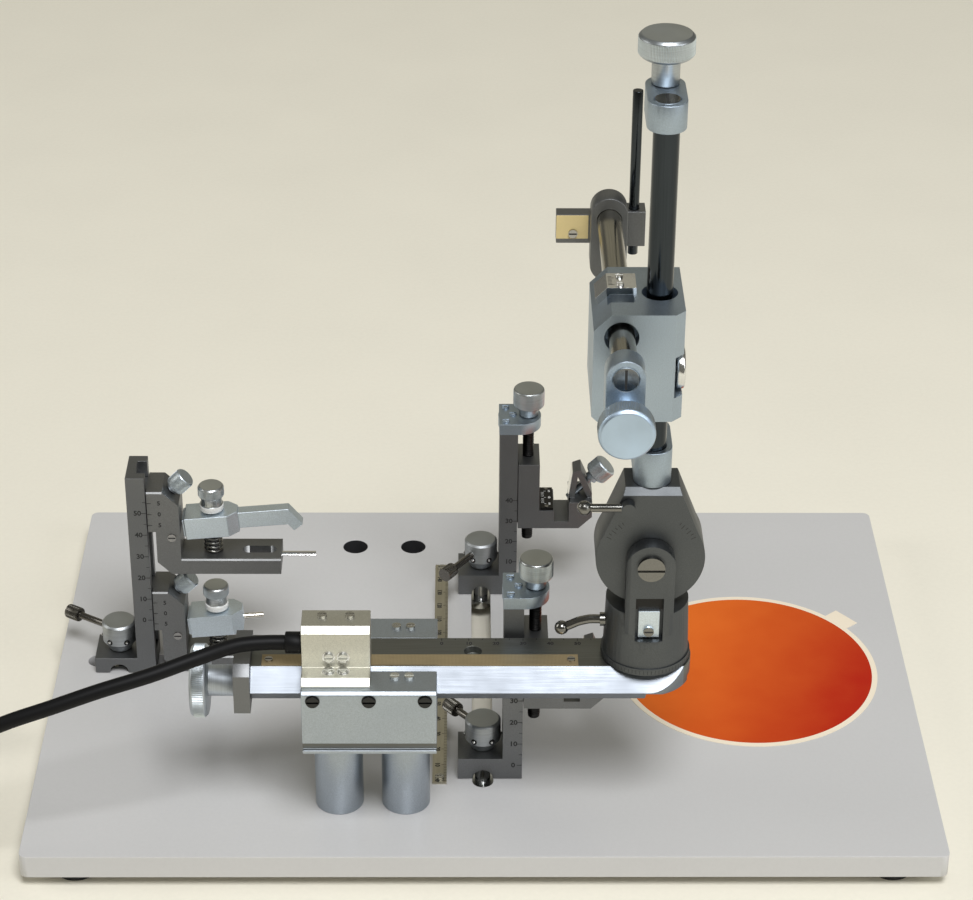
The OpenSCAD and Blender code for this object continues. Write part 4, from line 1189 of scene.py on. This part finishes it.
@dataclass
class GuideBar(SubAssembly):
    """The sliding bar with its scale, encoder tape, thrust block, drive screw and knob."""

    scale_in: float = 0.4
    scale_from: float = -16.0
    scale_length: int = 60
    tape_gap: float = 0.3
    tape_screw_in: float = 2.5
    thread_in: float = 1.0

    def build(self) -> None:
        """Dresses the bar and its drive."""
        shop = self.shop
        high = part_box("guide_bar")[1]
        tape_low, tape_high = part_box("encoder_strip")
        # In front of the tape the bar is painted lighter and bluer than its dark top: a painted highlight on
        # its front chamfer.
        front = Band(Axis.Y, -FAR, tape_low.y - self.tape_gap * MM, (0.25, 0.27, 0.30), 0.42)
        bar = MetalFinish("bar_finish", (0.195, 0.20, 0.185), 0.44, Grain.DRAWN, Axis.X, bands=(front,))
        shop.dress(bar.build(), Edge.FINE, "guide_bar")
        shop.dress(TapeFinish("encoder_tape").build(), Edge.RAW, "encoder_strip")
        shop.dress(self.finishes.dark, Edge.SOFT, "thrust_block")
        Scale(
            Tag("bar_scale", "ap_slide", "dark_aluminium", self.finishes.ink),
            Vector((self.scale_from * MM, high.y - self.scale_in * MM, high.z)), RIGHT, -BACK, RIGHT, BACK,
            self.scale_length, short=0.9, long=1.5, size=1.8, figures_at=3.2,
        ).build(shop)
        row = 0.5 * (tape_low.y + tape_high.y) / MM
        ends = [(tape_low.x / MM + self.tape_screw_in, row), (tape_high.x / MM - self.tape_screw_in, row)]
        top = basis(tape_high.z * UP, RIGHT, BACK)
        shop.screws("tape_screws", "ap_slide", top, ends, radius=1.5, height=0.5)
        DriveScrew(
            "ap_drive", "ap_knob", "ap_thread", (0.50, 0.54, 0.58), 0.46, Axis.X, on_top=False, radius=13.5,
            thick=6.3, neck=9.8, ridges=120,
        ).build(
            shop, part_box("thrust_block")[1].x + self.thread_in * MM,
            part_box("ap_drive")[1].x - self.thread_in * MM,
        )


@dataclass
class Manipulator(SubAssembly):
    """The swivel tower, tilt head, upright column, carriage, cross arm and probe."""

    thread_in: float = 1.0
    dial_ends: tuple[int, int] = (35, 60)
    dial_in: float = 1.2
    dial_reach: tuple[float, float] = (1.2, 2.0)
    dial_line: float = 0.2
    dial_lift: float = 0.02
    end_screw: tuple[float, float] = (4.3, 0.12)
    end_slot: float = 0.2
    flange_radius: float = 16.2
    flange_down: float = 13.3
    hub_radius: float = 2.5
    window_half: float = 4.9
    window_h: float = 17.3
    window_t: float = 0.25
    window_gap: float = 0.1
    latch_screw: float = 2.75
    plate_t: float = 0.3
    plate_gap: float = 0.5
    plate_z: tuple[float, float] = (3.2, -1.4)
    plate_screw: float = 5.5
    vernier: tuple[float, float, float] = (4.4, 2.5, -0.7)

    def build(self) -> None:
        """Dresses the whole manipulator."""
        shop, finishes = self.shop, self.finishes
        for finish, edge, nodes in (
            (finishes.tower, Edge.SOFT, ("tower", "tilt_head")),
            (finishes.pale, Edge.FINE, ("tower_latch",)),
            (finishes.bright, Edge.FINE, ("carriage_lock", "carriage_saddle")),
            (finishes.lever, Edge.RAW, ("swivel_lever", "pivot_screw")),
            (finishes.shaft, Edge.RAW, ("dv_rod",)),
            (finishes.arm, Edge.RAW, ("ml_rod",)),
            (finishes.blue, Edge.SOFT, ("dv_foot", "dv_top", "ml_front_bracket", "carriage_block")),
            (finishes.dark, Edge.SOFT, ("ml_rear_bracket",)),
            (finishes.dark, Edge.FINE, ("probe_holder",)),
            (finishes.shaft, Edge.FINE, ("probe_rod",)),
        ):
            shop.dress(finish, edge, *nodes)
        self._drives()
        self._dials()
        self._probe_face()
        self._vernier()
        self._end_screws()
        self._levers()

    def _drives(self) -> None:
        """Dresses the two drive screws with their knobs."""
        knob = {"radius": 9.4, "thick": 8.0, "ridges": 110}
        for name, colour, roughness, axis, on_top, neck, first, last in (
            ("dv", (0.43, 0.46, 0.48), 0.34, Axis.Z, True, 9.5, "dv_foot", "dv_top"),
            ("ml", (0.50, 0.62, 0.76), 0.42, Axis.Y, False, 6.0, "ml_front_bracket", "ml_rear_bracket"),
        ):
            DriveScrew(
                f"{name}_drive", f"{name}_knob", f"{name}_thread", colour, roughness, axis, on_top, neck=neck,
                **knob,
            ).build(
                self.shop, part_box(first)[1][axis.value] + self.thread_in * MM,
                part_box(last)[0][axis.value] - self.thread_in * MM,
            )

    def _dials(self) -> None:
        """Cuts degree scales round the shoulders of the tilt disc and round the tower's flange."""
        shop, ink = self.shop, self.finishes.ink
        pivot = shop.joint("tilt")[0]
        low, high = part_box("tilt_head")
        radius = 0.5 * (high.x - low.x)
        first, last = self.dial_ends
        meshes = []
        for degree in (*range(-last, -first + 1, 5), *range(first, last + 1, 5)):
            reach = self.dial_reach[degree % 10 == 0] * MM
            angle = math.radians(degree)
            out = Vector((math.sin(angle), 0, math.cos(angle)))
            bar = (self.dial_line * MM, reach, 2 * self.dial_lift * MM)
            tick = shop.trees.ticks.shape("dial_tick", Count=1, Bar=bar, Material=ink)
            spot = pivot + (radius - self.dial_in * MM - 0.5 * reach) * out
            spot.y = low.y - self.dial_lift * MM
            tick.transform(basis(spot, out.cross(-BACK), out))
            meshes.append(tick)
        shop.piece(Tag("tilt_dial", "column", "dark_aluminium", ink), merged("tilt_dial", meshes))
        flange = shop.joint("swivel")[0]
        flange.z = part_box("tower_latch")[0].z - self.flange_down * MM
        tag = Tag("swivel_dial", "tower", "dark_aluminium", ink)
        shop.knurl(tag, upright(flange, UP), self.flange_radius, height=1.5, count=72, ridge=0.22)

    def _probe_face(self) -> None:
        """Sets the pale plate and its screw on the probe holder's front."""
        low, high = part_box("probe_holder")
        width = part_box("ml_rear_bracket")[0].x - low.x
        front = low.y - self.plate_t * MM
        corner = Vector((low.x, front, low.z + self.plate_z[0] * MM))
        far = Vector((low.x + width - self.plate_gap * MM, low.y, high.z + self.plate_z[1] * MM))
        self.shop.slab(Tag("probe_plate", "cross_arm", "light_aluminium", self.finishes.cream), corner, far)
        face = basis(Vector((low.x + 0.5 * width, front, low.z + self.plate_screw * MM)), RIGHT, UP)
        self.shop.screws("probe_plate_screw", "cross_arm", face, [(0.0, 0.0)], radius=1.7, height=0.9)

    def _vernier(self) -> None:
        """Cuts a short scale on the carriage's saddle."""
        low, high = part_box("carriage_saddle")
        zero = Vector((low.x, low.y, high.z)) + MM * Vector(self.vernier)
        tag = Tag("carriage_vernier", "carriage", "steel", self.finishes.ink)
        marks = {"step": 1, "short": 1.4, "long": 2.2, "size": 0.0, "figure_step": 5}
        Scale(tag, zero, BACK, RIGHT, BACK, -RIGHT, 6, **marks).build(self.shop)

    def _end_screws(self) -> None:
        """Sets the end screws of the two rods."""
        head, ink = self.finishes.lever, self.finishes.ink
        top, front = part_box("dv_top")[1].z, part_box("ml_front_bracket")[0].y
        upright_rod, cross_rod = (0.5 * (low + high) for low, high in (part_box("dv_rod"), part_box("ml_rod")))
        upright_rod.z, cross_rod.y = top, front
        for name, body, spot, along in (
            ("upright_end_screw", "column", upright_rod, BACK),
            ("arm_end_screw", "cross_arm", cross_rod, UP),
        ):
            face = basis(spot, along, -RIGHT)
            self.shop.screws(name, body, face, [(0.0, 0.0)], *self.end_screw, head, ink, self.end_slot)

    def _levers(self) -> None:
        """Dresses the tilt lever, its hub as dark as the head, and the latch's screw, with a dark slab of
        painted shade in the window above the latch.
        """
        shop, finishes = self.shop, self.finishes
        hub = shop.joint("tilt_lever_turn")[0].x - self.hub_radius * MM
        band = Band(Axis.X, hub, FAR, TOWER_GREY, 0.46)
        lever = MetalFinish("tilt_lever_finish", CHROME, 0.2, depth=0.03, bands=(band,))
        shop.dress(lever.build(), Edge.RAW, "tilt_lever")
        low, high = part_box("tower_latch")
        middle, half = 0.5 * (low.x + high.x), self.window_half * MM
        # A thin dark slab fills the window above the latch: painted shade of the recess.
        corner = Vector((middle - half, high.y - self.window_t * MM, high.z + self.window_gap * MM))
        far = Vector((middle + half, high.y, low.z + self.window_h * MM))
        shop.slab(Tag("latch_window_shade", "tower", "black_plastic", finishes.oxide), corner, far)
        face = basis(Vector((middle, low.y, low.z + self.latch_screw * MM)), RIGHT, UP)
        shop.screws("latch_screw", "tower", face, [(0.0, 0.0)], radius=1.9, height=0.3, head=finishes.lever)


@dataclass
class Clamp(SubAssembly):
    """A capstan clamp knob with its tommy bar."""

    node: str
    body: str
    joint: str
    bar_angle: float
    bar_reach: float
    radius: float = 6.8
    hole: float = 1.2
    hole_count: int = 6
    hole_down: float = 7.2
    hole_t: float = 0.16
    ball: float = 0.66
    bar_down: float = 4.83
    bar_gap: float = 0.15
    tip: float = 6.0
    tip_radius: float = 2.8
    tip_rim: float = 0.8

    def build(self) -> None:
        """Dresses the knob, lays dark discs of painted shade with bright spheres for painted glints in its
        capstan holes, and knurls the tip of its bar.
        """
        shop, finishes = self.shop, self.finishes
        spot = shop.joint(self.joint)[0]
        bar = Beyond((spot.x, spot.y), (self.radius + self.bar_gap) * MM, (0.17, 0.16, 0.145), 0.24)
        bolt = Band(Axis.Z, -FAR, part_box("base_plate")[1].z, (0.62, 0.63, 0.62), 0.2)
        looks = {"grain": Grain.TURNED, "bands": (bolt,), "beyond": (bar,)}
        finish = MetalFinish(f"{self.node}_finish", (0.42, 0.44, 0.45), 0.44, **looks)
        shop.dress(finish.build(), Edge.FINE, self.node)
        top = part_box(self.node)[1].z
        spot.z = top - self.hole_down * MM
        # The dark discs are painted shade in the capstan holes, and the bright spheres in them are painted
        # glints.
        holes = shop.trees.holes.shape(
            f"{self.body}_holes", Count=self.hole_count, Radius=self.radius * MM, Hole=self.hole * MM,
            Ball=self.ball * MM, Deep=self.hole_t * MM, Material=finishes.oxide,
            BallMaterial=finishes.bright,
        )
        holes.transform(upright(spot, UP))
        shop.piece(Tag(f"{self.body}_holes", self.body, "steel"), holes)
        angle = math.radians(self.bar_angle)
        out = Vector((math.cos(angle), math.sin(angle), 0.0))
        spot.z = top - self.bar_down * MM
        tip = spot + (self.bar_reach - 0.5 * self.tip) * MM * out
        tag = Tag(f"{self.body}_bar_knurl", self.body, "steel", finishes.lever)
        shop.knurl(tag, upright(tip, out), self.tip_radius, self.tip - self.tip_rim, count=36, ridge=0.3)


@dataclass
class EarHolder(SubAssembly):
    """One ear-bar holder: graduated post, cap, lift screw, carriage, strap knob and clamp."""

    side: str
    front: float
    bar_angle: float
    bar_reach: float
    zero: float = 21.0
    scale_length: int = 40
    knob_t: float = 8.0
    neck: float = 4.0
    thread_in: tuple[float, float] = (1.0, 5.5)
    strap_knob_radius: float = 5.0
    strap_knob_from: float = 4.8
    strap_knob_t: float = 7.0
    strap_knob_rim: float = 1.8
    plate_x: tuple[float, float] = (23.95, 29.25)
    plate_z: tuple[float, float] = (56.0, 57.15)
    plate_in: float = 0.4
    plate_screw_in: float = 1.4
    marks_in: tuple[float, float] = (0.5, 3.4)
    depth: float = 17.5
    strap_w: float = 8.6
    strap_low: tuple[float, float] = (35.82, 60.2)
    strap_high: tuple[float, float] = (37.36, 71.7)
    strap_t: float = 0.25

    def build(self) -> None:
        """Dresses the holder."""
        shop, finishes, side = self.shop, self.finishes, self.side
        shop.dress(finishes.dark, Edge.SOFT, f"{side}_ear_post", f"{side}_ear_carriage")
        shop.dress(finishes.blue, Edge.FINE, f"{side}_ear_cap")
        shop.dress(finishes.turned, Edge.FINE, f"{side}_ear_knob")
        self._lift()
        low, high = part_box(f"{side}_ear_post")
        tag = Tag(f"{side}_post_scale", f"{side}_holder", "dark_aluminium", finishes.ink)
        zero = Vector((high.x, low.y, self.zero * MM))
        Scale(tag, zero, UP, -RIGHT, RIGHT, UP, self.scale_length).build(shop)
        self._index()
        self._strap()
        Clamp(
            shop, f"{side}_ear_clamp", f"{side}_clamp", f"{side}_clamp_turn", self.bar_angle, self.bar_reach
        ).build()

    def _lift(self) -> None:
        """Dresses the lift screw and its knob."""
        node, body = f"{self.side}_ear_drive", f"{self.side}_drive"
        low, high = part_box(node)
        base = high.z - (self.knob_t + self.neck) * MM
        DriveScrew(
            node, body, f"{body}_thread", (0.43, 0.45, 0.45), 0.36, Axis.Z, on_top=True, radius=6.25,
            thick=self.knob_t, neck=self.neck, ridges=84, screw_radius=2.2, rim=1.6,
        ).build(self.shop, low.z + self.thread_in[0] * MM, base - self.thread_in[1] * MM)

    def _index(self) -> None:
        """Lays the black index plate with its white marks and two screws on the carriage's arm."""
        shop, side, body = self.shop, self.side, f"{self.side}_carriage"
        low = at(self.plate_x[0], self.front + self.plate_in, self.plate_z[0])
        high = at(self.plate_x[1], self.front + self.depth - self.plate_in, self.plate_z[1])
        shop.slab(Tag(f"{side}_index", body, "black_plastic", self.finishes.oxide), low, high, edge=0.15)
        zero = Vector((low.x + self.marks_in[0] * MM, low.y + self.marks_in[1] * MM, high.z))
        tag = Tag(f"{side}_index_marks", body, "black_plastic", self.finishes.white)
        marks = {"step": 1, "line": 0.2, "size": 1.5, "figure_step": 5, "labels": ("5", "0", "5")}
        Scale(tag, zero, BACK, RIGHT, RIGHT, BACK, 10, **marks).build(shop)
        top = basis(Vector((0.5 * (low.x + high.x), low.y, high.z)), RIGHT, BACK)
        ends = [(0.0, self.plate_screw_in), (0.0, (high.y - low.y) / MM - self.plate_screw_in)]
        shop.screws(f"{side}_index_screws", body, top, ends, radius=0.8, height=0.25)

    def _strap(self) -> None:
        """Lays the bright strip on the strap's inner face and knurls the strap's knob."""
        shop, side = self.shop, self.side
        y0 = self.front + 0.5 * (self.depth - self.strap_w)
        y1 = y0 + self.strap_w
        (x0, z0), (x1, z1) = self.strap_low, self.strap_high
        inner = [at(x0, y0, z0), at(x0, y1, z0), at(x1, y1, z1), at(x1, y0, z1)]
        outer = [corner - self.strap_t * MM * RIGHT for corner in inner]
        tag = Tag(f"{side}_strap_face", f"{side}_carriage", "steel", self.finishes.bright)
        shop.loft(tag, (inner, outer), capped=True)
        spot, axis = shop.joint(f"{side}_bar_knob_turn")
        middle = spot + (self.strap_knob_from + 0.5 * self.strap_knob_t) * MM * axis.normalized()
        tag = Tag(f"{side}_bar_knob_knurl", f"{side}_bar_knob", "steel")
        band = self.strap_knob_t - self.strap_knob_rim
        shop.knurl(tag, upright(middle, axis), self.strap_knob_radius, band, count=60)


@dataclass
class NoseColumn(SubAssembly):
    """The nose post with its clamp and two clamping arms."""

    zero: float = 40.2
    scale_length: int = 55
    bar_angle: float = 148.0
    bar_reach: float = 26.0
    arm_pin: float = 13.4
    jaw_pin: float = 7.8
    knob_radius: float = 5.0
    knob_h: float = 8.3
    knob_rim: float = 1.7
    collar: float = 2.3
    waist: float = 3.3
    lock_radius: float = 4.0
    lock_from: float = 1.5
    lock_t: float = 7.0
    lock_rim: float = 1.8
    marks_in: float = 0.4
    marks_down: float = 14.9
    screw: tuple[float, float] = (9.0, -20.5)
    spring_radius: float = 3.3
    spring_turns: float = 4.0
    spring_wire: float = 0.5
    spring_pressed: float = 0.68

    def build(self) -> None:
        """Dresses the column and its arms."""
        shop = self.shop
        shop.dress(self.finishes.dark, Edge.SOFT, "nose_post")
        low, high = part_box("nose_post")
        tag = Tag("nose_post_scale", "nose_column", "dark_aluminium", self.finishes.ink)
        zero = Vector((high.x, low.y, self.zero * MM))
        Scale(tag, zero, UP, -RIGHT, RIGHT, UP, self.scale_length).build(shop)
        names = ("nose_post_clamp", "nose_column_clamp", "nose_clamp_turn")
        Clamp(shop, *names, self.bar_angle, self.bar_reach).build()
        shop.dress(self.finishes.pale, Edge.SOFT, "upper_nose_jaw")
        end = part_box("lower_nose_jaw")[1].x - self.jaw_pin * MM
        pin = Band(Axis.X, end, FAR, (0.78, 0.74, 0.66), 0.16)
        shop.dress(MetalFinish("pinned_jaw", PALE, 0.42, bands=(pin,)).build(), Edge.SOFT, "lower_nose_jaw")
        for arm in ("upper", "lower"):
            self._arm(arm)
            self._knobs(arm)
            self._spring(arm)

    def _arm(self, arm: str) -> None:
        """Dresses one arm, cuts its short scale and sets its screw.

        Args:
            arm: Which arm, upper or lower.
        """
        shop, node, body = self.shop, f"{arm}_nose_carriage", f"{arm}_nose"
        low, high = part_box(node)
        pin = Band(Axis.X, high.x - self.arm_pin * MM, FAR, (0.78, 0.78, 0.77), 0.14)
        finish = MetalFinish(f"{node}_finish", (0.225, 0.228, 0.228), 0.46, bands=(pin,))
        shop.dress(finish.build(), Edge.SOFT, node)
        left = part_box("nose_post")[1].x + self.marks_in * MM
        Scale(
            Tag(f"{arm}_arm_scale", body, "dark_aluminium", self.finishes.ink),
            Vector((left, low.y, high.z - self.marks_down * MM)), UP, RIGHT, RIGHT, UP, 10,
            short=1.0, long=1.6, size=1.9, figures_at=4.6, figure_step=5, labels=("5", "0", "5"),
        ).build(shop)
        face = basis(Vector((left, low.y, high.z)), RIGHT, UP)
        shop.screws(f"{arm}_arm_screw", body, face, [self.screw], radius=1.7, height=0.6)

    def _knobs(self, arm: str) -> None:
        """Dresses and knurls one arm's lock knob and its waisted jaw knob with the white collar.

        Args:
            arm: Which arm, upper or lower.
        """
        shop, node = self.shop, f"{arm}_nose_knob"
        shop.dress(self.finishes.turned, Edge.FINE, f"{arm}_nose_lock")
        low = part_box(node)[0].z
        collar = Band(Axis.Z, low - MM, low + self.collar * MM, (0.80, 0.80, 0.78), 0.45, 0.0)
        finish = MetalFinish(f"{node}_finish", (0.50, 0.52, 0.52), 0.36, Grain.TURNED, bands=(collar,))
        shop.dress(finish.build(), Edge.FINE, node)
        spot = shop.joint(f"{arm}_jaw_knob_turn")[0]
        spot.z = low + (self.collar + 0.5 * (self.knob_h + self.waist)) * MM
        tag = Tag(f"{arm}_jaw_knob_knurl", f"{arm}_jaw_knob", "steel")
        band = self.knob_h - self.waist - self.knob_rim
        shop.knurl(tag, upright(spot, UP), self.knob_radius, band, count=64)
        spot, axis = shop.joint(f"{arm}_lock_turn")
        middle = spot + (self.lock_from + 0.5 * self.lock_t) * MM * axis.normalized()
        tag = Tag(f"{arm}_lock_knurl", f"{arm}_lock", "steel")
        shop.knurl(tag, upright(middle, axis), self.lock_radius, self.lock_t - self.lock_rim, count=52)

    def _spring(self, arm: str) -> None:
        """Winds the spring under the jaw, as tall as the part's own spring.

        Args:
            arm: Which arm, upper or lower.
        """
        low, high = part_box(f"{arm}_nose_spring")
        spot = self.shop.joint(f"{arm}_jaw_knob_turn")[0]
        wire = self.spring_wire * MM
        mesh = self.shop.trees.winding.shape(
            f"{arm}_spring", Turns=self.spring_turns, Radius=self.spring_radius * MM,
            Height=high.z - low.z - 2 * wire, Wire=wire, Steps=28, Sides=12, Material=self.finishes.lever,
        )
        mesh.transform(Matrix.Translation((spot.x, spot.y, low.z + wire)))
        spring = self.shop.piece(Tag(f"{arm}_spring", f"{arm}_nose", "steel"), mesh)
        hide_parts(f"{arm}_nose_spring")
        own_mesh(spring)


@dataclass
class Cable(SubAssembly):
    """The read head's cable: a free stretch to the bench and the coil that holds the rest."""

    diameter: float = 5.5
    gland: tuple[float, float, float] = (-72.4, -93.0, 91.4)
    knots: tuple[tuple[float, float, float], ...] = (
        (-90, -96, 92), (-104, -103, 91), (-120, -109, 88), (-138, -113, 84), (-155, -116, 79),
        (-173, -118, 73), (-190, -119, 64), (-204, -120, 52), (-214, -120, 39), (-222, -120, 26),
        (-232, -120, 15), (-245, -120, 7),
    )
    coil_start: tuple[float, float] = (-270.0, -120.0)
    coil_radius: float = 19.0
    coil_turns: int = 4
    coil_step: float = 6.8
    tail: float = 38.0
    tail_points: int = 6
    steps: int = 6
    turn_points: int = 36

    def build(self) -> None:
        """Lays the cable and dresses its connector."""
        route = [at(*point) for point in self._free() + self._coil()]
        curve = bpy.data.curves.new("read_head_cable", "CURVE")
        curve.dimensions = "3D"
        curve.bevel_depth = 0.5 * self.diameter * MM
        curve.bevel_resolution = 5
        curve.use_fill_caps = True
        line = curve.splines.new("POLY")
        line.points.add(len(route) - 1)
        for point, spot in zip(line.points, route):
            point.co = (*spot, 1.0)
        curve.materials.append(self.finishes.black)
        cable = linked("read_head_cable", curve)
        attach(cable, "base")
        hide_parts("cable", "cable_coil")
        self.shop.dress(self.finishes.oxide, Edge.SOFT, "connector")

    def _free(self) -> list[Vector]:
        """Gives the route from the gland to the coil as a smooth curve through its knots.

        Returns:
            Points of the plate's frame, in millimetres.
        """
        gland = Vector(self.gland)
        end = Vector((self.coil_start[0] + 2 * self.diameter, self.coil_start[1], 0.5 * self.diameter))
        knots = [gland - self.diameter * RIGHT, *[Vector(knot) for knot in self.knots], end]
        last = len(knots) - 1
        route = [gland]
        for i in range(last):
            a, b, c, d = knots[max(i - 1, 0)], knots[i], knots[i + 1], knots[min(i + 2, last)]
            for k in range(self.steps):
                t = k / self.steps
                square, cube = 2 * a - 5 * b + 4 * c - d, 3 * b - a - 3 * c + d
                route.append(0.5 * (2 * b + (c - a) * t + square * t**2 + cube * t**3))
        return route + [end, end - self.diameter * RIGHT]

    def _coil(self) -> list[Vector]:
        """Gives the coil: in along the bench, up a layer, and out again to the connector.

        Returns:
            Points of the plate's frame, in millimetres.
        """
        out = self.coil_radius + self.coil_turns * self.coil_step
        middle = Vector((self.coil_start[0], self.coil_start[1] + out, 0.5 * self.diameter))
        wound = 360.0 * self.coil_turns
        route = []
        for i in range(2 * self.coil_turns * self.turn_points + self.turn_points // 2 + 1):
            turn = 360.0 * i / self.turn_points
            angle = math.radians(-90.0 - turn)
            off = max(0.0, wound - turn) + max(0.0, turn - wound - 180.0)
            radius = self.coil_radius + self.coil_step * off / 360.0
            climb = self.coil_step * min(1.0, max(0.0, (turn - wound) / 180.0))
            route.append(middle + Vector((radius * math.cos(angle), radius * math.sin(angle), climb)))
        over = middle + Vector((0.0, out, self.coil_step))
        reaches = [self.tail * i / self.tail_points for i in range(1, self.tail_points + 1)]
        return route + [over + reach * RIGHT for reach in reaches]


@dataclass(frozen=True)
class SoftLight:
    """A square soft light, in metres and watts."""

    name: str
    spot: tuple[float, float, float]
    size: float
    power: float
    colour: Colour

    def hang(self, target: Vector) -> None:
        """Hangs the light.

        Args:
            target: The point that it is turned to.
        """
        data = bpy.data.lights.new(self.name, "AREA")
        data.size = self.size
        data.energy = self.power
        data.color = self.colour
        lamp = linked(self.name, data)
        lamp.visible_camera = False
        spot = Vector(self.spot)
        turned = (target - spot).to_track_quat("-Z", "Y").to_matrix().to_4x4()
        lamp.matrix_world = Matrix.Translation(spot) @ turned


@dataclass
class Studio:
    """The floor, the soft lights and the camera at the photograph's angle."""

    lens_pixels: float = 2772.0
    image_width: float = 973.0
    sensor: float = 36.0
    place: tuple[float, float, float] = (-9.21, -921.3, 660.65)
    pitch: float = 30.527
    yaw: float = 0.630
    roll: float = -0.371
    target: tuple[float, float, float] = (0.0, 0.0, 0.1)
    floor_size: float = 14.0
    floor_colour: Colour = (0.86, 0.82, 0.70)
    world_colour: Colour = (0.84, 0.82, 0.72)
    world_strength: float = 0.20
    clip: tuple[float, float] = (0.01, 50.0)
    lights: tuple[SoftLight, ...] = (
        SoftLight("key", (0.35, -1.50, 2.75), 1.25, 80.0, (0.97, 0.98, 1.0)),
        SoftLight("fill", (1.7, -1.1, 1.1), 1.0, 11.0, (0.95, 0.97, 1.0)),
        SoftLight("side", (-1.9, 0.1, 1.0), 0.9, 7.0, (1.0, 0.99, 0.96)),
        SoftLight("back", (0.0, 1.9, 1.2), 1.8, 2.2, (1.0, 0.93, 0.70)),
    )

    def build(self) -> None:
        """Makes the floor, the lights and the camera."""
        shape = bmesh.new()
        bmesh.ops.create_grid(shape, x_segments=1, y_segments=1, size=0.5 * self.floor_size)
        mesh = mesh_of("floor", shape)
        mesh.materials.append(CoatFinish("floor_cloth", self.floor_colour, 0.85, 500.0, 0.05).build())
        linked("floor", mesh)
        for light in self.lights:
            light.hang(Vector(self.target))
        scene = bpy.context.scene
        scene.world = bpy.data.worlds.new("studio")
        scene.world.use_nodes = True
        background = scene.world.node_tree.nodes["Background"]
        background.inputs["Color"].default_value = (*self.world_colour, 1.0)
        background.inputs["Strength"].default_value = self.world_strength
        scene.view_settings.view_transform = "Standard"
        scene.camera = self._camera()

    def _camera(self) -> bpy.types.Object:
        """Makes the camera.

        Returns:
            The camera.
        """
        pitch, yaw, roll = (math.radians(angle) for angle in (self.pitch, self.yaw, self.roll))
        ahead = Vector((math.sin(yaw) * math.cos(pitch), math.cos(yaw) * math.cos(pitch), -math.sin(pitch)))
        level = Vector((math.cos(yaw), -math.sin(yaw), 0.0))
        right = level * math.cos(roll) + ahead.cross(level) * math.sin(roll)
        data = bpy.data.cameras.new("photo_camera")
        data.sensor_width = self.sensor
        data.lens = self.lens_pixels / self.image_width * self.sensor
        data.clip_start, data.clip_end = self.clip
        camera = linked("photo_camera", data)
        camera.matrix_world = basis(at(*self.place), right, right.cross(ahead))
        return camera


def main() -> None:
    """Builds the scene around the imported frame."""
    logging.basicConfig(level=logging.INFO, format="%(name)s: %(message)s")
    for thing in list(bpy.data.objects):
        bpy.data.objects.remove(thing)
    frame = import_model()
    Studio().build()
    shop = Workshop(frame)
    near = EarHolder(shop, "near", front=-73.0, bar_angle=130.0, bar_reach=21.0)
    far = EarHolder(shop, "far", front=54.4, bar_angle=234.0, bar_reach=26.0)
    groups = (Cable, BasePlate, DriveBracket, GuideBar, Manipulator)
    for group in (*(kind(shop) for kind in groups), near, far, NoseColumn(shop)):
        group.build()
        LOG.info("finished %s", type(group).__name__)


if __name__ == "__main__":
    main()
